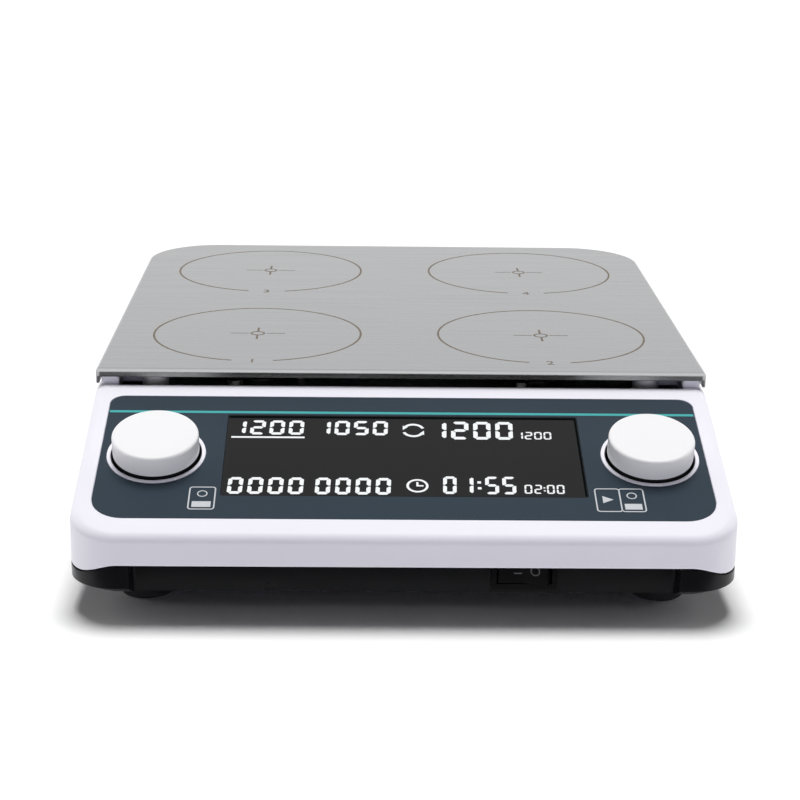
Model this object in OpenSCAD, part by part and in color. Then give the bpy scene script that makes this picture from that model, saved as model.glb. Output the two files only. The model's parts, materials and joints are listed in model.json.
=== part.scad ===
// Four-position magnetic stirrer, shaped like a bench scale: a steel plate over a
// moulded housing, with a sloping control panel at the front.
// Millimetres. The origin is the middle of the footprint, on the bench.
// +Z is up, and the user stands at -Y.

/* [Body] */
// Width of the housing
body_w = 214; // [208:1:230]
// Depth of the housing
body_d = 290; // [286:1:310]
// Height from the bench to the top of the plate
body_h = 60; // [58:0.5:68]
// Plan corner radius at the front
front_corner_r = 16; // [12:0.5:18]
// Plan corner radius at the back
rear_corner_r = 30; // [22:1:34]
// Wall of the moulded shells
wall = 2.5; // [2.2:0.1:2.8]
// Rounding of the upper housing's side and back edges
edge_r = 4; // [3:0.5:7]
// Rounding of the edge between the panel and the front face
front_edge_r = 4; // [3:0.5:8]
// Clear gap where the two housings part
parting_gap = 0.4; // [0.2:0.1:0.6]

/* [Base] */
// Height of the rubber feet under the base
foot_h = 7; // [5:0.5:9]
// Diameter of the feet
foot_d = 18; // [14:1:20]
// Distance of the feet from the sides
foot_inset_x = 23; // [20:1:28]
// Distance of the feet from the front and back
foot_inset_y = 27; // [24:1:34]
// Height of the base's wall that shows at the sides
base_side_h = 4.7; // [4:0.1:6]
// Rise of the parting line from the sides to the front
lip_rise = 7; // [5:0.5:8]
// How far the chamfer along the base's lower edge goes in
base_chamfer_in = 8; // [6:0.5:8]
// Height of that chamfer
base_chamfer_h = 4; // [3:0.1:4]
// Width of the finger recess under the front lip
recess_w = 174; // [150:1:178]
// Depth of the finger recess
recess_d = 9; // [8:0.5:11]

/* [Control panel] */
// Height of the panel's front edge above the bench, before it is rounded
panel_front_h = 28.7; // [28:0.1:32]
// Depth of the panel in plan, from the front face to the crease
panel_d = 81; // [79:0.5:84]
// Thickness of the printed overlay
overlay_t = 0.4; // [0.2:0.1:0.6]
// Bare margin at each side of the overlay
overlay_side = 6.5; // [5:0.5:9]
// Bare margin between the crease and the overlay
overlay_back = 6.5; // [4:0.5:7]
// Length of the overlay down the slope
overlay_l = 68.8; // [66:0.2:70]
// Length of the display window down the slope
window_l = 45; // [38:1:48]
// Distance from the overlay's back edge to the window
window_back = 11.3; // [10:0.1:14]
// Clear distance between the window and the knob collars
window_gap = 6.2; // [5:0.2:12]

/* [Knobs] */
// Diameter of the knobs
knob_d = 28.6; // [26:0.2:30]
// Height of the knobs above the panel
knob_rise = 8; // [6:0.5:12]
// Distance of each knob's axis from the side of the housing
knob_inset = 25; // [24:0.5:28]
// Distance of the knobs' axes below the crease, along the slope
knob_down = 40.5; // [38:0.5:43]
// Gap round each knob in its well
knob_gap = 0.75; // [0.5:0.05:1]
// Width of the collar round each well
collar_w = 1.3; // [1:0.1:1.6]
// Inward travel of a knob when it is pushed
push_travel = 0.8; // [0.5:0.1:1]

/* [Plate] */
// Drop from the plate's top to the housing's rim
rim_drop = 5.8; // [5.6:0.1:7]
// Thickness of the steel sheet
sheet_t = 1.2; // [1:0.1:1.5]
// Height of the folded side and back flanges
flange_h = 5.5; // [4:0.1:5.5]
// Height of the folded lip at the plate's front
front_lip_h = 3; // [2:0.1:3.2]
// Set-back of the plate from the housing's sides and back
plate_inset = 0.3; // [0.2:0.1:0.6]
// Diameter of the spacers that carry the plate
spacer_d = 9.5; // [8:0.5:10]

/* [Stirring positions] */
// Distance between neighbouring positions
pitch = 106; // [100:1:110]
// Distance of the pattern's centre behind the plate's middle
pattern_back = -0.85; // [-3:0.05:3]
// Diameter of the motors
motor_d = 37; // [32:1:40]
// Height of the motors
motor_h = 20; // [16:1:22]
// Diameter of the motor shafts
shaft_d = 4; // [3:0.5:5]
// Diameter of the magnet holders
holder_d = 44; // [38:1:48]
// Height of the magnet holders
holder_h = 9; // [8:0.5:10]
// Running gap between the magnet holders and the plate
magnet_gap = 1.5; // [1:0.1:2]
// Diameter of the magnets
magnet_d = 15; // [12:1:16]
// Thickness of the motor deck
deck_t = 2; // [1.5:0.1:2.5]

/* [Power switch] */
// Distance of the switch from the middle of the housing
switch_x = 38.3; // [20:0.1:60]
// Width of the switch bezel
bezel_w = 21; // [20:0.5:23]
// Height of the switch bezel
bezel_h = 15; // [14:0.5:15]
// Swing of the rocker from on to off, in degrees
rocker_swing = 20; // [16:1:22]

/* [Hidden] */
$fn = 64;

// Running clearance on a radius, and the loose clearance of pieces that drop in
run = 0.05;
loose = 0.2;
// How far cutting shapes reach past what they cut
over = 1;
// How far the edge roundings run out past the walls, so that they cross them cleanly
run_out = 0.1;
// Facets in each edge rounding
edge_steps = 8;

half_w = body_w / 2;
front_y = -body_d / 2;
back_y = body_d / 2;
rim_z = body_h - rim_drop;
crease_y = front_y + panel_d;

// Slope of the panel, from its front edge up to the crease
panel_slope = atan((rim_z - panel_front_h) / panel_d);

// Parting line of the two housings
part_side_z = foot_h + base_side_h;
part_front_z = part_side_z + lip_rise;
recess_margin = 4;
wave_start = recess_w / 2 + recess_margin;
wave_end = half_w + front_corner_r - wall;
wave_back_y = front_y + 2.5 * front_corner_r;
wave_steps = 12;
floor_z = foot_h + wall;
tongue_t = 2;
tongue_in = wall + loose;
tongue_z = part_front_z + 1.5;
cavity_in = tongue_in + tongue_t;

// The base's sloping lower edge, with the wall's thickness kept behind it
chamfer_fall = base_chamfer_h / base_chamfer_in;
chamfer_z = foot_h + base_chamfer_h;
cavity_chamfer_h = wall * norm([1, chamfer_fall]) + chamfer_z - floor_z - cavity_in * chamfer_fall;
cavity_chamfer_in = cavity_chamfer_h / chamfer_fall;
tongue_foot_z = min(chamfer_z, part_side_z - parting_gap) - 0.3;
root_z = floor_z - wall / 4;

// Recess wall, switch and rocker
recess_y = front_y + recess_d;
bezel_lip_h = 1.2;
bezel_lip_w = 0.9;
switch_body_h = bezel_h - 2 * bezel_lip_h;
switch_body_w = bezel_w - 2 * bezel_lip_w;
switch_wall = 0.7;
switch_z = floor_z + loose + switch_body_h / 2;
bezel_t = 1.5;
switch_depth = 12;
tab_l = 7;
tab_t = 0.8;
tab_w = 4.8;
bezel_room = 0.6;
recess_top = switch_z + bezel_h / 2 + bezel_room;
recess_roof_t = 1.5;
lip_room = 2;
recess_roof_y = front_y + wall + lip_room;
recess_foot_z = chamfer_z - chamfer_fall * (recess_roof_y - front_y) + 0.2;
pivot_depth = 2.5;
rocker_gap = 0.3;
rocker_play = 0.25;
rocker_below = 0.5;
rocker_r = switch_body_w / 2 - switch_wall - rocker_gap;
rocker_h = switch_body_h - 2 * (switch_wall + rocker_play);
rocker_tilt = rocker_swing / 2;
rocker_valley = 2.2;
rocker_under = 3;
pin_r = 1;
pin_l = 0.7;
rocker_room = rocker_r * sin(rocker_tilt) + rocker_under + rocker_below;

// Panel frame: distances down the slope, heights along the normal
knob_r = knob_d / 2;
knob_x = half_w - knob_inset;
well_r = knob_r + knob_gap;
collar_r = well_r + collar_w;
collar_rise = 0.3;
cup_wall = 1.8;
cup_r = well_r + cup_wall;
cup_depth = 6.5;
cup_floor = 2;
overlay_sink = 0.1;
pocket_d = overlay_t + overlay_sink;
window_w = 2 * (knob_x - collar_r - window_gap);
window_t = 1.4;
window_top = overlay_back + window_back;
window_mid = window_top + window_l / 2;
ledge = 1.2;
overlay_front_r = 11;
overlay_back_r = 5;

// Knob and encoder heights along the panel's normal
skirt_gap = 1.2;
skirt_n = -(cup_depth - push_travel - skirt_gap);
knob_wall = 2.4;
knob_top_t = 3;
shaft_r = 3;
shaft_flat = 4.2;
boss_r = 5.5;
bush_r = 3.5;
bush_h = 5;
encoder_w = 12.5;
encoder_h = 6.5;
encoder_top = -(cup_depth + cup_floor);
encoder_wall = 1;
bush_top = encoder_top + bush_h;
boss_gap = 0.7;
boss_n = bush_top + push_travel + boss_gap;
shaft_top = knob_rise - knob_top_t;
shaft_end = encoder_top - encoder_h + encoder_wall + push_travel + loose;
cavity_r = 5.2;
rotor_gap = 0.3;
rotor_r = cavity_r - rotor_gap;
rotor_t = 2.2;
nut_across = 10;
nut_t = 2;

// Boards
board_t = 1.6;
board_n = encoder_top - encoder_h;
board_inset = 17;
board_half = half_w - board_inset;
board_top = 8;
board_bottom = 70;
board_boss_in = 6;
board_boss_back = 5.5;
board_boss_front = 4;
board_boss_x = board_half - board_boss_in;
board_boss_down = [board_top + board_boss_back, board_bottom - board_boss_front];
board_boss_r = 3;
board_screw_r = 1.2;
board_screw_l = 7;
board_head_r = 2.4;
board_head_t = 1.8;
notch_margin = 4;
notch_down = 54;
lcd_frame = 2.5;
lcd_t = 6.4;
lcd_leg = 4;
lcd_leg_inset = 6;
buzzer_r = 6;
buzzer_h = 6;
buzzer_x = 28;
buzzer_down = 30;
socket_w = 24;
socket_l = 5;
socket_h = 5;
socket_down = 15;
driver_w = 56;
driver_l = 96;
driver_rise = 4.5;
driver_z = floor_z + driver_rise;
driver_boss = [20, 40];
driver_socket_in = 2;
chip_pitch = 10;
chip_w = 6;
chip_l = 8;
chip_h = 2.5;
plug_w = 7;
plug_l = 6;
plug_h = 6;
plug_back = 16;
capacitor_r = 5;
capacitor_h = 13;
capacitor_x = 8;
capacitor_front = 20;
ribbon_drop = 12;
ribbon_run = 14;
ribbon_w = 20;
ribbon_t = 1;
ribbon_steps = 14;

// Plate and what carries it
plate_half = half_w - plate_inset;
plate_gap = 1;
plate_front = crease_y + plate_gap;
plate_back = back_y - plate_inset;
pattern_y = (plate_front + plate_back) / 2 + pattern_back;
plate_corner_r = rear_corner_r - plate_inset;
plate_under = body_h - sheet_t;
spacer_r = spacer_d / 2;
stud_r = 2;
stud_nut_across = 7;
stud_nut_t = 3.2;
rim_front = 4;
rim_side = 15;
rim_back = 12;
rim_corner_r = 6;
gap_front = 0.8;
gap_side = 8;
gap_d = 14;
gap_corner_r = 1;
spacer_side_gap = 0.3;
spacer_front_gap = 1.7;
spacer_back_gap = 2.3;
spacer_x = half_w - rim_side - spacer_r - spacer_side_gap;
spacer_y = [crease_y + rim_front + spacer_r + spacer_front_gap,
            back_y - rim_back - spacer_r - spacer_back_gap];

// Stirring drives, from the plate down
holder_top = plate_under - magnet_gap;
holder_z = holder_top - holder_h;
hub_wall = 4;
hub_r = shaft_d / 2 + hub_wall;
hub_h = 2.3;
hub_z = holder_z - hub_h;
motor_boss_h = 3;
motor_boss_r = 6;
hub_gap = 1;
deck_z = hub_z - hub_gap - motor_boss_h;
motor_top = deck_z;
motor_z = motor_top - motor_h;
deck_top = deck_z + deck_t;
bearing_wall = 2;
bearing_r = shaft_d / 2 + bearing_wall;
bearing_h = 3;
stator_wall = 6;
motor_cap = 2;
air_gap = 0.5;
motor_rotor_r = motor_d / 2 - stator_wall - air_gap;
magnet_h = 6;
magnet_rim = 1.5;
magnet_at = holder_d / 2 - magnet_d / 2 - magnet_rim;
motor_screw_at = motor_d / 2 - stator_wall / 2;
screw_r = 1.5;
screw_head_r = 2.75;
screw_head_t = 2;
screw_fit = 0.2;
motor_screw_l = 5;
positions = [[-1, -1], [1, -1], [-1, 1], [1, 1]];

// Motor deck on its pillars
deck_half = half_w - rim_side;
deck_margin = 1.5;
deck_front = spacer_y[0] - spacer_r - deck_margin;
deck_back = spacer_y[1] + spacer_r + deck_margin;
pillar_r = 4;
pillar_in = 3;
pillar_front = 16;
pillar_back = 24;
pillar_x = spacer_x - pillar_in;
pillar_y = [spacer_y[0] + pillar_front, pattern_y, spacer_y[1] - pillar_back];
pillar_screw_l = 10;

// Screws that join the housings
join_inset_x = 9;
join_inset_y = 33;
join_mid_y = -5;
join_rise = 4;
join_x = half_w - join_inset_x;
join_y = [front_y + join_inset_y, join_mid_y, back_y - join_inset_y];
join_z = tongue_z + join_rise;
join_boss_r = 4;
join_tube_r = 5;
join_screw_r = 1.4;
join_head_r = 3.2;
join_head_t = 2.5;
join_seat_t = 2.5;
join_seat = floor_z + join_seat_t;
join_bite = 7;

// Feet
foot_x = half_w - foot_inset_x;
foot_y = body_d / 2 - foot_inset_y;
foot_stem_r = 3;
foot_barb_r = 3.8;
foot_barb_t = 1.5;
foot_round = 1.5;

// Supply inlet in the back wall
inlet_x = -60;
inlet_rise = 10;
inlet_z = tongue_z + inlet_rise;
inlet_flange_r = 5.5;
inlet_flange_t = 1;
inlet_thread_r = 4;
inlet_thread_l = 10;
inlet_socket_r = 2.8;
inlet_pin_r = 1.05;
inlet_pin_l = 9;
inlet_body_r = 3.6;
inlet_body_l = 7;
inlet_tab_l = 5;
inlet_nut_across = 11;

SIDES = ["left", "right"];
NUMBERS = [1, 2, 3, 4];

// Shapes and placings that several pieces share

// Height of the panel's surface, carried on past the crease
function panel_z(y) = rim_z + (y - crease_y) * tan(panel_slope);

// A soft step from 0 to 1
function soft_step(t) = t <= 0 ? 0 : t >= 1 ? 1 : (1 - cos(180 * t)) / 2;

// Height of the parting line across the front, and along the sides
function wave_front(x) =
    part_side_z + lip_rise * soft_step((wave_end - abs(x)) / (wave_end - wave_start));
function wave_side(y) =
    part_side_z + (wave_front(half_w) - part_side_z)
        * soft_step((wave_back_y - y) / (wave_back_y - front_y - front_corner_r));

// Points along an arc, from one angle to another
function arc(centre, r, a0, a1) =
    [for (i = [0:edge_steps]) let (a = a0 + (a1 - a0) * i / edge_steps) centre + r * [cos(a), sin(a)]];

// Point and direction on a cubic curve
function curve_at(p, t) =
    pow(1 - t, 3) * p[0] + 3 * t * pow(1 - t, 2) * p[1] + 3 * t * t * (1 - t) * p[2] + pow(t, 3) * p[3];
function curve_way(p, t) =
    pow(1 - t, 2) * (p[1] - p[0]) + 2 * t * (1 - t) * (p[2] - p[1]) + t * t * (p[3] - p[2]);
function beside(p, t, off) =
    let (way = curve_way(p, t)) curve_at(p, t) + off * [-way[1], way[0]] / norm(way);

// Plan shape with its own corner radii at the front and the back
module plan_shape(half, y0, y1, r0, r1) {
    polygon([[-half + r0, y0], [half - r0, y0], [half, y0 + r0], [half, y1 - r1],
             [half - r1, y1], [-half + r1, y1], [-half, y1 - r1], [-half, y0 + r0]]);
    for (side = [-1, 1]) {
        translate([side * (half - r0), y0 + r0]) circle(r0);
        translate([side * (half - r1), y1 - r1]) circle(r1);
    }
}

// The housing's plan, drawn in by an inset
module body_plan(inset) {
    plan_shape(half_w - inset, front_y + inset, back_y - inset,
               front_corner_r - inset, rear_corner_r - inset);
}

// A section drawn in Y and Z, run across the whole width
module across(w) {
    translate([-w / 2, 0, 0]) rotate([90, 0, 90]) linear_extrude(w) children();
}

// A section drawn in X and Z, run from one depth to another
module along(y0, y1) {
    translate([0, y1, 0]) rotate([90, 0, 0]) linear_extrude(y1 - y0) children();
}

// Moves children onto the panel: X across, -Y down the slope, +Z along the normal
module on_panel() {
    translate([0, crease_y, rim_z]) rotate([panel_slope, 0, 0]) children();
}

// Moves children to one knob's axis, at the panel's surface
module at_knob(side) {
    on_panel() translate([side * knob_x, -knob_down, 0]) children();
}

// Moves children to one stirring position
module at_position(i) {
    p = positions[i - 1];
    translate([p[0] * pitch / 2, pattern_y + p[1] * pitch / 2, 0]) children();
}

// Moves children to both signs of X at each of a list of depths
module mirrored(x, depths) {
    for (side = [-1, 1], y = depths) translate([side * x, y, 0]) children();
}

// Flat-topped section with its two upper corners rounded
module shoulder(half, top, r) {
    bottom = top - body_h * 2;
    polygon(concat([[-half, bottom], [half, bottom]],
                   arc([half - r, top - r], r, 0, 90),
                   arc([-half + r, top - r], r, 90, 180)));
}

// Side view of the upper housing, drawn in by an inset
module side_view(inset) {
    f = front_y + inset - run_out;
    b = back_y - inset + run_out;
    top = rim_z - inset;
    rf = max(front_edge_r - inset, 0.5);
    rb = max(edge_r - inset, 0.5);
    crease = crease_y + inset * tan(panel_slope / 2);
    cy = f + rf;
    cz = panel_z(cy) - (inset + rf) / cos(panel_slope);
    polygon(concat([[f, 0], [b, 0]],
                   arc([b - rb, top - rb], rb, 0, 90),
                   [[crease, top]],
                   arc([cy, cz], rf, 90 + panel_slope, 180)));
}

// The upper housing's outside, drawn in by an inset, as a closed block. The panel's shoulder
// stands a little higher than the deck's, so that the two cross the crease at separate places.
module housing_form(inset) {
    r = max(edge_r - inset, 0.5);
    half = half_w - inset + run_out;
    top = run_out - inset;
    intersection() {
        translate([0, 0, over]) linear_extrude(body_h) body_plan(inset);
        across(body_w + 2 * over) side_view(inset);
        along(front_y - over, back_y + over) translate([0, rim_z]) shoulder(half, top, r);
        on_panel() along(-body_d, body_d) shoulder(half, top + run_out, r);
    }
}

// All that lies below the parting line, raised or lowered by a shift
module below_parting(shift) {
    front_end = front_y + front_corner_r;
    reach = half_w + over;
    xs = [for (i = [-wave_steps:wave_steps])
        sign(i) * (wave_start + (reach - wave_start) * (abs(i) - 1) / (wave_steps - 1))];
    ys = [for (i = [0:wave_steps]) front_end + (wave_back_y - front_end) * i / wave_steps];
    along(front_y - over, front_end)
        polygon(concat([for (x = xs) [x, wave_front(min(abs(x), half_w)) + shift]],
                       [[reach, -over], [-reach, -over]]));
    across(2 * reach)
        polygon(concat([for (y = ys) [y, wave_side(y) + shift]],
                       [[back_y + over, part_side_z + shift], [back_y + over, -over], [front_end, -over]]));
}

// Nut with six sides and a round hole
module hex_nut(flats, r, t) {
    difference() {
        cylinder(r = flats / sqrt(3), h = t, $fn = 6);
        translate([0, 0, -over]) cylinder(r = r, h = t + 2 * over);
    }
}

// Screw standing head up on z = 0, with its shank below
module screw(r, l, head_r, head_t) {
    cylinder(r = head_r, h = head_t);
    translate([0, 0, -l]) cylinder(r = r, h = l + head_t / 2);
}

// Upper housing

// Cups behind the panel that hold the encoders, and the board's bosses
module panel_bosses() {
    for (side = [-1, 1]) {
        at_knob(side)
            translate([0, 0, encoder_top]) cylinder(r = cup_r, h = -encoder_top);
        on_panel() for (down = board_boss_down)
            translate([side * board_boss_x, -down, board_n])
                cylinder(r = board_boss_r, h = -board_n);
    }
}

module join_bosses() {
    mirrored(join_x, join_y) translate([0, 0, join_z]) cylinder(r = join_boss_r, h = body_h - join_z);
}

module upper_shell() {
    difference() {
        housing_form(0);
        housing_form(wall);
        below_parting(0);
        translate([0, 0, rim_z - wall - over])
            linear_extrude(wall + 2 * over)
                plan_shape(half_w - rim_side, crease_y + rim_front, back_y - rim_back,
                           rim_corner_r, rim_corner_r);
        translate([0, 0, rim_z - wall - over])
            linear_extrude(wall + 2 * over)
                plan_shape(half_w - gap_side, crease_y + gap_front, crease_y + gap_d,
                           gap_corner_r, gap_corner_r);
    }
}

module overlay_plan(grow) {
    plan_shape(half_w - overlay_side + grow, -overlay_back - overlay_l - grow, -overlay_back + grow,
               overlay_front_r, overlay_back_r);
}

module window_block(grow, n0, n1) {
    translate([-window_w / 2 - grow, -window_top - window_l - grow, n0])
        cube([window_w + 2 * grow, window_l + 2 * grow, n1 - n0]);
}

module upper_housing() {
    color("whitesmoke") difference() {
        union() {
            difference() {
                union() {
                    upper_shell();
                    intersection() {
                        housing_form(wall / 2);
                        union() {
                            panel_bosses();
                            join_bosses();
                        }
                    }
                }
                on_panel() translate([0, 0, -pocket_d])
                    linear_extrude(pocket_d + over) overlay_plan(loose);
            }
            for (side = [-1, 1]) at_knob(side)
                translate([0, 0, -pocket_d - 0.5]) cylinder(r = collar_r, h = pocket_d + 0.5 + collar_rise);
        }
        on_panel() window_block(loose / 2, -pocket_d - window_t, over);
        on_panel() window_block(-ledge, -wall - over, over);
        for (side = [-1, 1]) {
            at_knob(side) {
                translate([0, 0, -cup_depth]) cylinder(r = well_r, h = cup_depth + over + collar_rise);
                translate([0, 0, encoder_top - over])
                    cylinder(r = bush_r + loose / 2, h = cup_floor + 2 * over);
            }
            on_panel() for (down = board_boss_down)
                translate([side * board_boss_x, -down, board_n - over])
                    cylinder(r = board_screw_r, h = board_screw_l - board_t + over);
        }
        mirrored(join_x, join_y) translate([0, 0, join_z - over])
            cylinder(r = join_screw_r, h = join_bite + over);
        translate([inlet_x, back_y - inlet_flange_t, inlet_z]) rotate([-90, 0, 0])
            cylinder(r = inlet_flange_r + loose, h = inlet_flange_t + over);
        translate([inlet_x, back_y - wall - over, inlet_z]) rotate([-90, 0, 0])
            cylinder(r = inlet_thread_r + loose / 2, h = wall + 2 * over);
    }
}

// Base housing

// The body's plan between two heights, drawn in by an inset, with its lower edge chamfered
module chamfered_plan(inset, z0, z1, c_in, c_h) {
    half = half_w - inset;
    front = front_y + inset;
    back = back_y - inset;
    r0 = front_corner_r - inset;
    r1 = rear_corner_r - inset;
    along(front + r0, back - r1)
        polygon([[-half + c_in, z0], [half - c_in, z0], [half, z0 + c_h],
                 [half, z1], [-half, z1], [-half, z0 + c_h]]);
    across(2 * (half - r0))
        polygon([[front + c_in, z0], [front + r0, z0], [front + r0, z1],
                 [front, z1], [front, z0 + c_h]]);
    across(2 * (half - r1))
        polygon([[back - r1, z0], [back - c_in, z0], [back, z0 + c_h],
                 [back, z1], [back - r1, z1]]);
    for (side = [-1, 1]) {
        translate([side * (half - r0), front + r0, 0]) chamfered_post(r0, z0, z1, c_in, c_h);
        translate([side * (half - r1), back - r1, 0]) chamfered_post(r1, z0, z1, c_in, c_h);
    }
}

// A round corner of that plan
module chamfered_post(r, z0, z1, c_in, c_h) {
    rotate_extrude() polygon([[0, z0], [r - c_in, z0], [r, z0 + c_h], [r, z1], [0, z1]]);
}

module base_tray() {
    difference() {
        union() {
            intersection() {
                chamfered_plan(0, foot_h, part_front_z + over, base_chamfer_in, base_chamfer_h);
                below_parting(-parting_gap);
            }
            translate([0, 0, tongue_foot_z])
                linear_extrude(tongue_z - tongue_foot_z) body_plan(tongue_in);
        }
        chamfered_plan(cavity_in, floor_z, body_h, cavity_chamfer_in, cavity_chamfer_h);
    }
}

// Block that the finger recess is cut from
module recess_block() {
    half = recess_w / 2 + wall;
    translate([-half, recess_roof_y, recess_foot_z])
        cube([2 * half, recess_y + wall - recess_roof_y, recess_top + recess_roof_t - recess_foot_z]);
}

module base_housing() {
    color("dimgray") difference() {
        union() {
            base_tray();
            recess_block();
            mirrored(join_x, join_y) translate([0, 0, root_z])
                cylinder(r = join_tube_r, h = join_z - root_z);
            mirrored(pillar_x, pillar_y) translate([0, 0, root_z])
                cylinder(r = pillar_r, h = deck_z - root_z);
            mirrored(driver_boss[0], [pattern_y - driver_boss[1], pattern_y + driver_boss[1]])
                translate([0, 0, root_z])
                    cylinder(r = board_boss_r, h = driver_z - root_z);
        }
        translate([-recess_w / 2, front_y - over, -over])
            cube([recess_w, recess_d + over, recess_top + over]);
        translate([switch_x - switch_body_w / 2 - loose / 2, recess_y - over,
                   switch_z - switch_body_h / 2 - loose / 2])
            cube([switch_body_w + loose, wall + 2 * over, switch_body_h + loose]);
        mirrored(join_x, join_y) {
            translate([0, 0, foot_h - over])
                cylinder(r = join_head_r + loose, h = join_seat - foot_h + over);
            cylinder(r = join_screw_r + screw_fit, h = join_z + over);
        }
        mirrored(pillar_x, pillar_y) translate([0, 0, deck_z - pillar_screw_l])
            cylinder(r = screw_r, h = pillar_screw_l + over);
        mirrored(driver_boss[0], [pattern_y - driver_boss[1], pattern_y + driver_boss[1]])
            translate([0, 0, driver_z + board_t - board_screw_l])
                cylinder(r = board_screw_r, h = board_screw_l + over);
        mirrored(foot_x, [-foot_y, foot_y]) cylinder(r = foot_stem_r, h = floor_z + over);
    }
}

// Plate and its fixings

module top_plate() {
    color("silver") {
        difference() {
            translate([0, 0, body_h - flange_h]) linear_extrude(flange_h)
                plan_shape(plate_half, plate_front, plate_back, sheet_t, plate_corner_r);
            translate([0, 0, body_h - flange_h - over]) linear_extrude(flange_h - sheet_t + over)
                plan_shape(plate_half - sheet_t, plate_front + sheet_t, plate_back - sheet_t,
                           sheet_t / 2, plate_corner_r - sheet_t);
            translate([-plate_half + sheet_t, plate_front - over, body_h - flange_h - over])
                cube([2 * (plate_half - sheet_t), sheet_t + 2 * over, flange_h - front_lip_h + over]);
        }
        mirrored(spacer_x, spacer_y) translate([0, 0, deck_z - stud_nut_t - 1.5])
            cylinder(r = stud_r, h = plate_under - deck_z + stud_nut_t + 1.5 + sheet_t / 2);
    }
}

module plate_spacers() {
    color("gray") mirrored(spacer_x, spacer_y) difference() {
        translate([0, 0, deck_top]) cylinder(r = spacer_r, h = plate_under - deck_top);
        translate([0, 0, deck_top - over])
            cylinder(r = stud_r + screw_fit, h = plate_under - deck_top + 2 * over);
    }
}

module plate_nuts() {
    color("silver") mirrored(spacer_x, spacer_y)
        translate([0, 0, deck_z - stud_nut_t]) hex_nut(stud_nut_across, stud_r, stud_nut_t);
}

// Control panel

module panel_overlay() {
    color("darkslategray") on_panel() difference() {
        translate([0, 0, -pocket_d]) linear_extrude(overlay_t) overlay_plan(0);
        window_block(loose / 2, -pocket_d - over, over);
        for (side = [-1, 1]) translate([side * knob_x, -knob_down, -pocket_d - over])
            cylinder(r = collar_r + loose / 2, h = pocket_d + 2 * over);
    }
}

module display_window() {
    color([0.2, 0.2, 0.2]) on_panel()
        window_block(0, -pocket_d - window_t, -pocket_d + overlay_t);
}

module display_module() {
    color("dimgray") on_panel() {
        window_block(lcd_frame, -wall - lcd_t, -wall);
        for (side = [-1, 1], down = [window_top + lcd_leg_inset, window_top + window_l - lcd_leg_inset])
            translate([side * (window_w / 2 - lcd_leg_inset) - lcd_leg / 2, -down - lcd_leg / 2, board_n])
                cube([lcd_leg, lcd_leg, -wall - lcd_t / 2 - board_n]);
    }
}

module control_board() {
    notch_w = bezel_w + 2 * notch_margin;
    color("darkgreen") on_panel() {
        difference() {
            translate([-board_half, -board_bottom, board_n - board_t])
                cube([2 * board_half, board_bottom - board_top, board_t]);
            translate([switch_x - notch_w / 2, -board_bottom - over, board_n - board_t - over])
                cube([notch_w, board_bottom - notch_down + over, board_t + 2 * over]);
            for (side = [-1, 1], down = board_boss_down)
                translate([side * board_boss_x, -down, board_n - board_t - over])
                    cylinder(r = board_screw_r + screw_fit, h = board_t + 2 * over);
        }
        translate([-socket_w / 2, -socket_down - socket_l / 2, board_n - board_t - socket_h])
            cube([socket_w, socket_l, socket_h + board_t / 2]);
    }
}

module control_board_screws() {
    color("silver") on_panel() for (side = [-1, 1], down = board_boss_down)
        translate([side * board_boss_x, -down, board_n - board_t]) rotate([180, 0, 0])
            screw(board_screw_r, board_screw_l, board_head_r, board_head_t);
}

module buzzer() {
    color("black") on_panel()
        translate([-buzzer_x, -buzzer_down, board_n - board_t - buzzer_h]) difference() {
            cylinder(r = buzzer_r, h = buzzer_h);
            translate([0, 0, -over]) cylinder(r = 1, h = over + 1);
        }
}

// Knobs and encoders

module knob(side) {
    round_r = 1.2;
    color("white") at_knob(side) {
        rotate_extrude() difference() {
            union() {
                translate([0, skirt_n]) square([knob_r, knob_rise - skirt_n - round_r]);
                translate([0, skirt_n]) square([knob_r - round_r, knob_rise - skirt_n]);
                translate([knob_r - round_r, knob_rise - round_r]) circle(round_r);
            }
            translate([boss_r, skirt_n - over])
                square([knob_r - knob_wall - boss_r, knob_rise - knob_top_t - skirt_n + over]);
            translate([-over, skirt_n - over]) square([boss_r + 2 * over, boss_n - skirt_n + over]);
            translate([-over, skirt_n - over]) square([shaft_r + over, shaft_top - skirt_n + over]);
        }
    }
}

module encoder_body(side) {
    color("silver") at_knob(side) difference() {
        union() {
            translate([-encoder_w / 2, -encoder_w / 2, encoder_top - encoder_h])
                cube([encoder_w, encoder_w, encoder_h]);
            translate([0, 0, encoder_top - encoder_wall / 2])
                cylinder(r = bush_r, h = bush_h + encoder_wall / 2);
        }
        translate([0, 0, encoder_top - encoder_h + encoder_wall])
            cylinder(r = cavity_r, h = encoder_h - 2 * encoder_wall);
        translate([0, 0, encoder_top - encoder_h + 2 * encoder_wall])
            cylinder(r = shaft_r + run, h = encoder_h + bush_h + over);
    }
}

module encoder_nut(side) {
    color("silver") at_knob(side) translate([0, 0, -cup_depth]) hex_nut(nut_across, bush_r, nut_t);
}

// Lower end of the shaft, with two flats that the rotor drives
module shaft_tongue(r, flats, z, h) {
    intersection() {
        translate([0, 0, z]) cylinder(r = r, h = h);
        translate([-r - over, -flats / 2, z]) cube([2 * (r + over), flats, h]);
    }
}

module encoder_rotor(side) {
    top = encoder_top - encoder_wall - loose;
    color("black") at_knob(side) difference() {
        translate([0, 0, top - rotor_t]) cylinder(r = rotor_r, h = rotor_t);
        shaft_tongue(shaft_r + run, shaft_flat + 2 * run, top - rotor_t - over, rotor_t + 2 * over);
    }
}

module encoder_shaft(side) {
    shoulder_n = encoder_top - encoder_wall + push_travel + loose;
    color("gainsboro") at_knob(side) {
        translate([0, 0, shoulder_n]) cylinder(r = shaft_r, h = shaft_top - shoulder_n);
        shaft_tongue(shaft_r, shaft_flat, shaft_end, shoulder_n - shaft_end + loose);
    }
}

// Power switch

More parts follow.
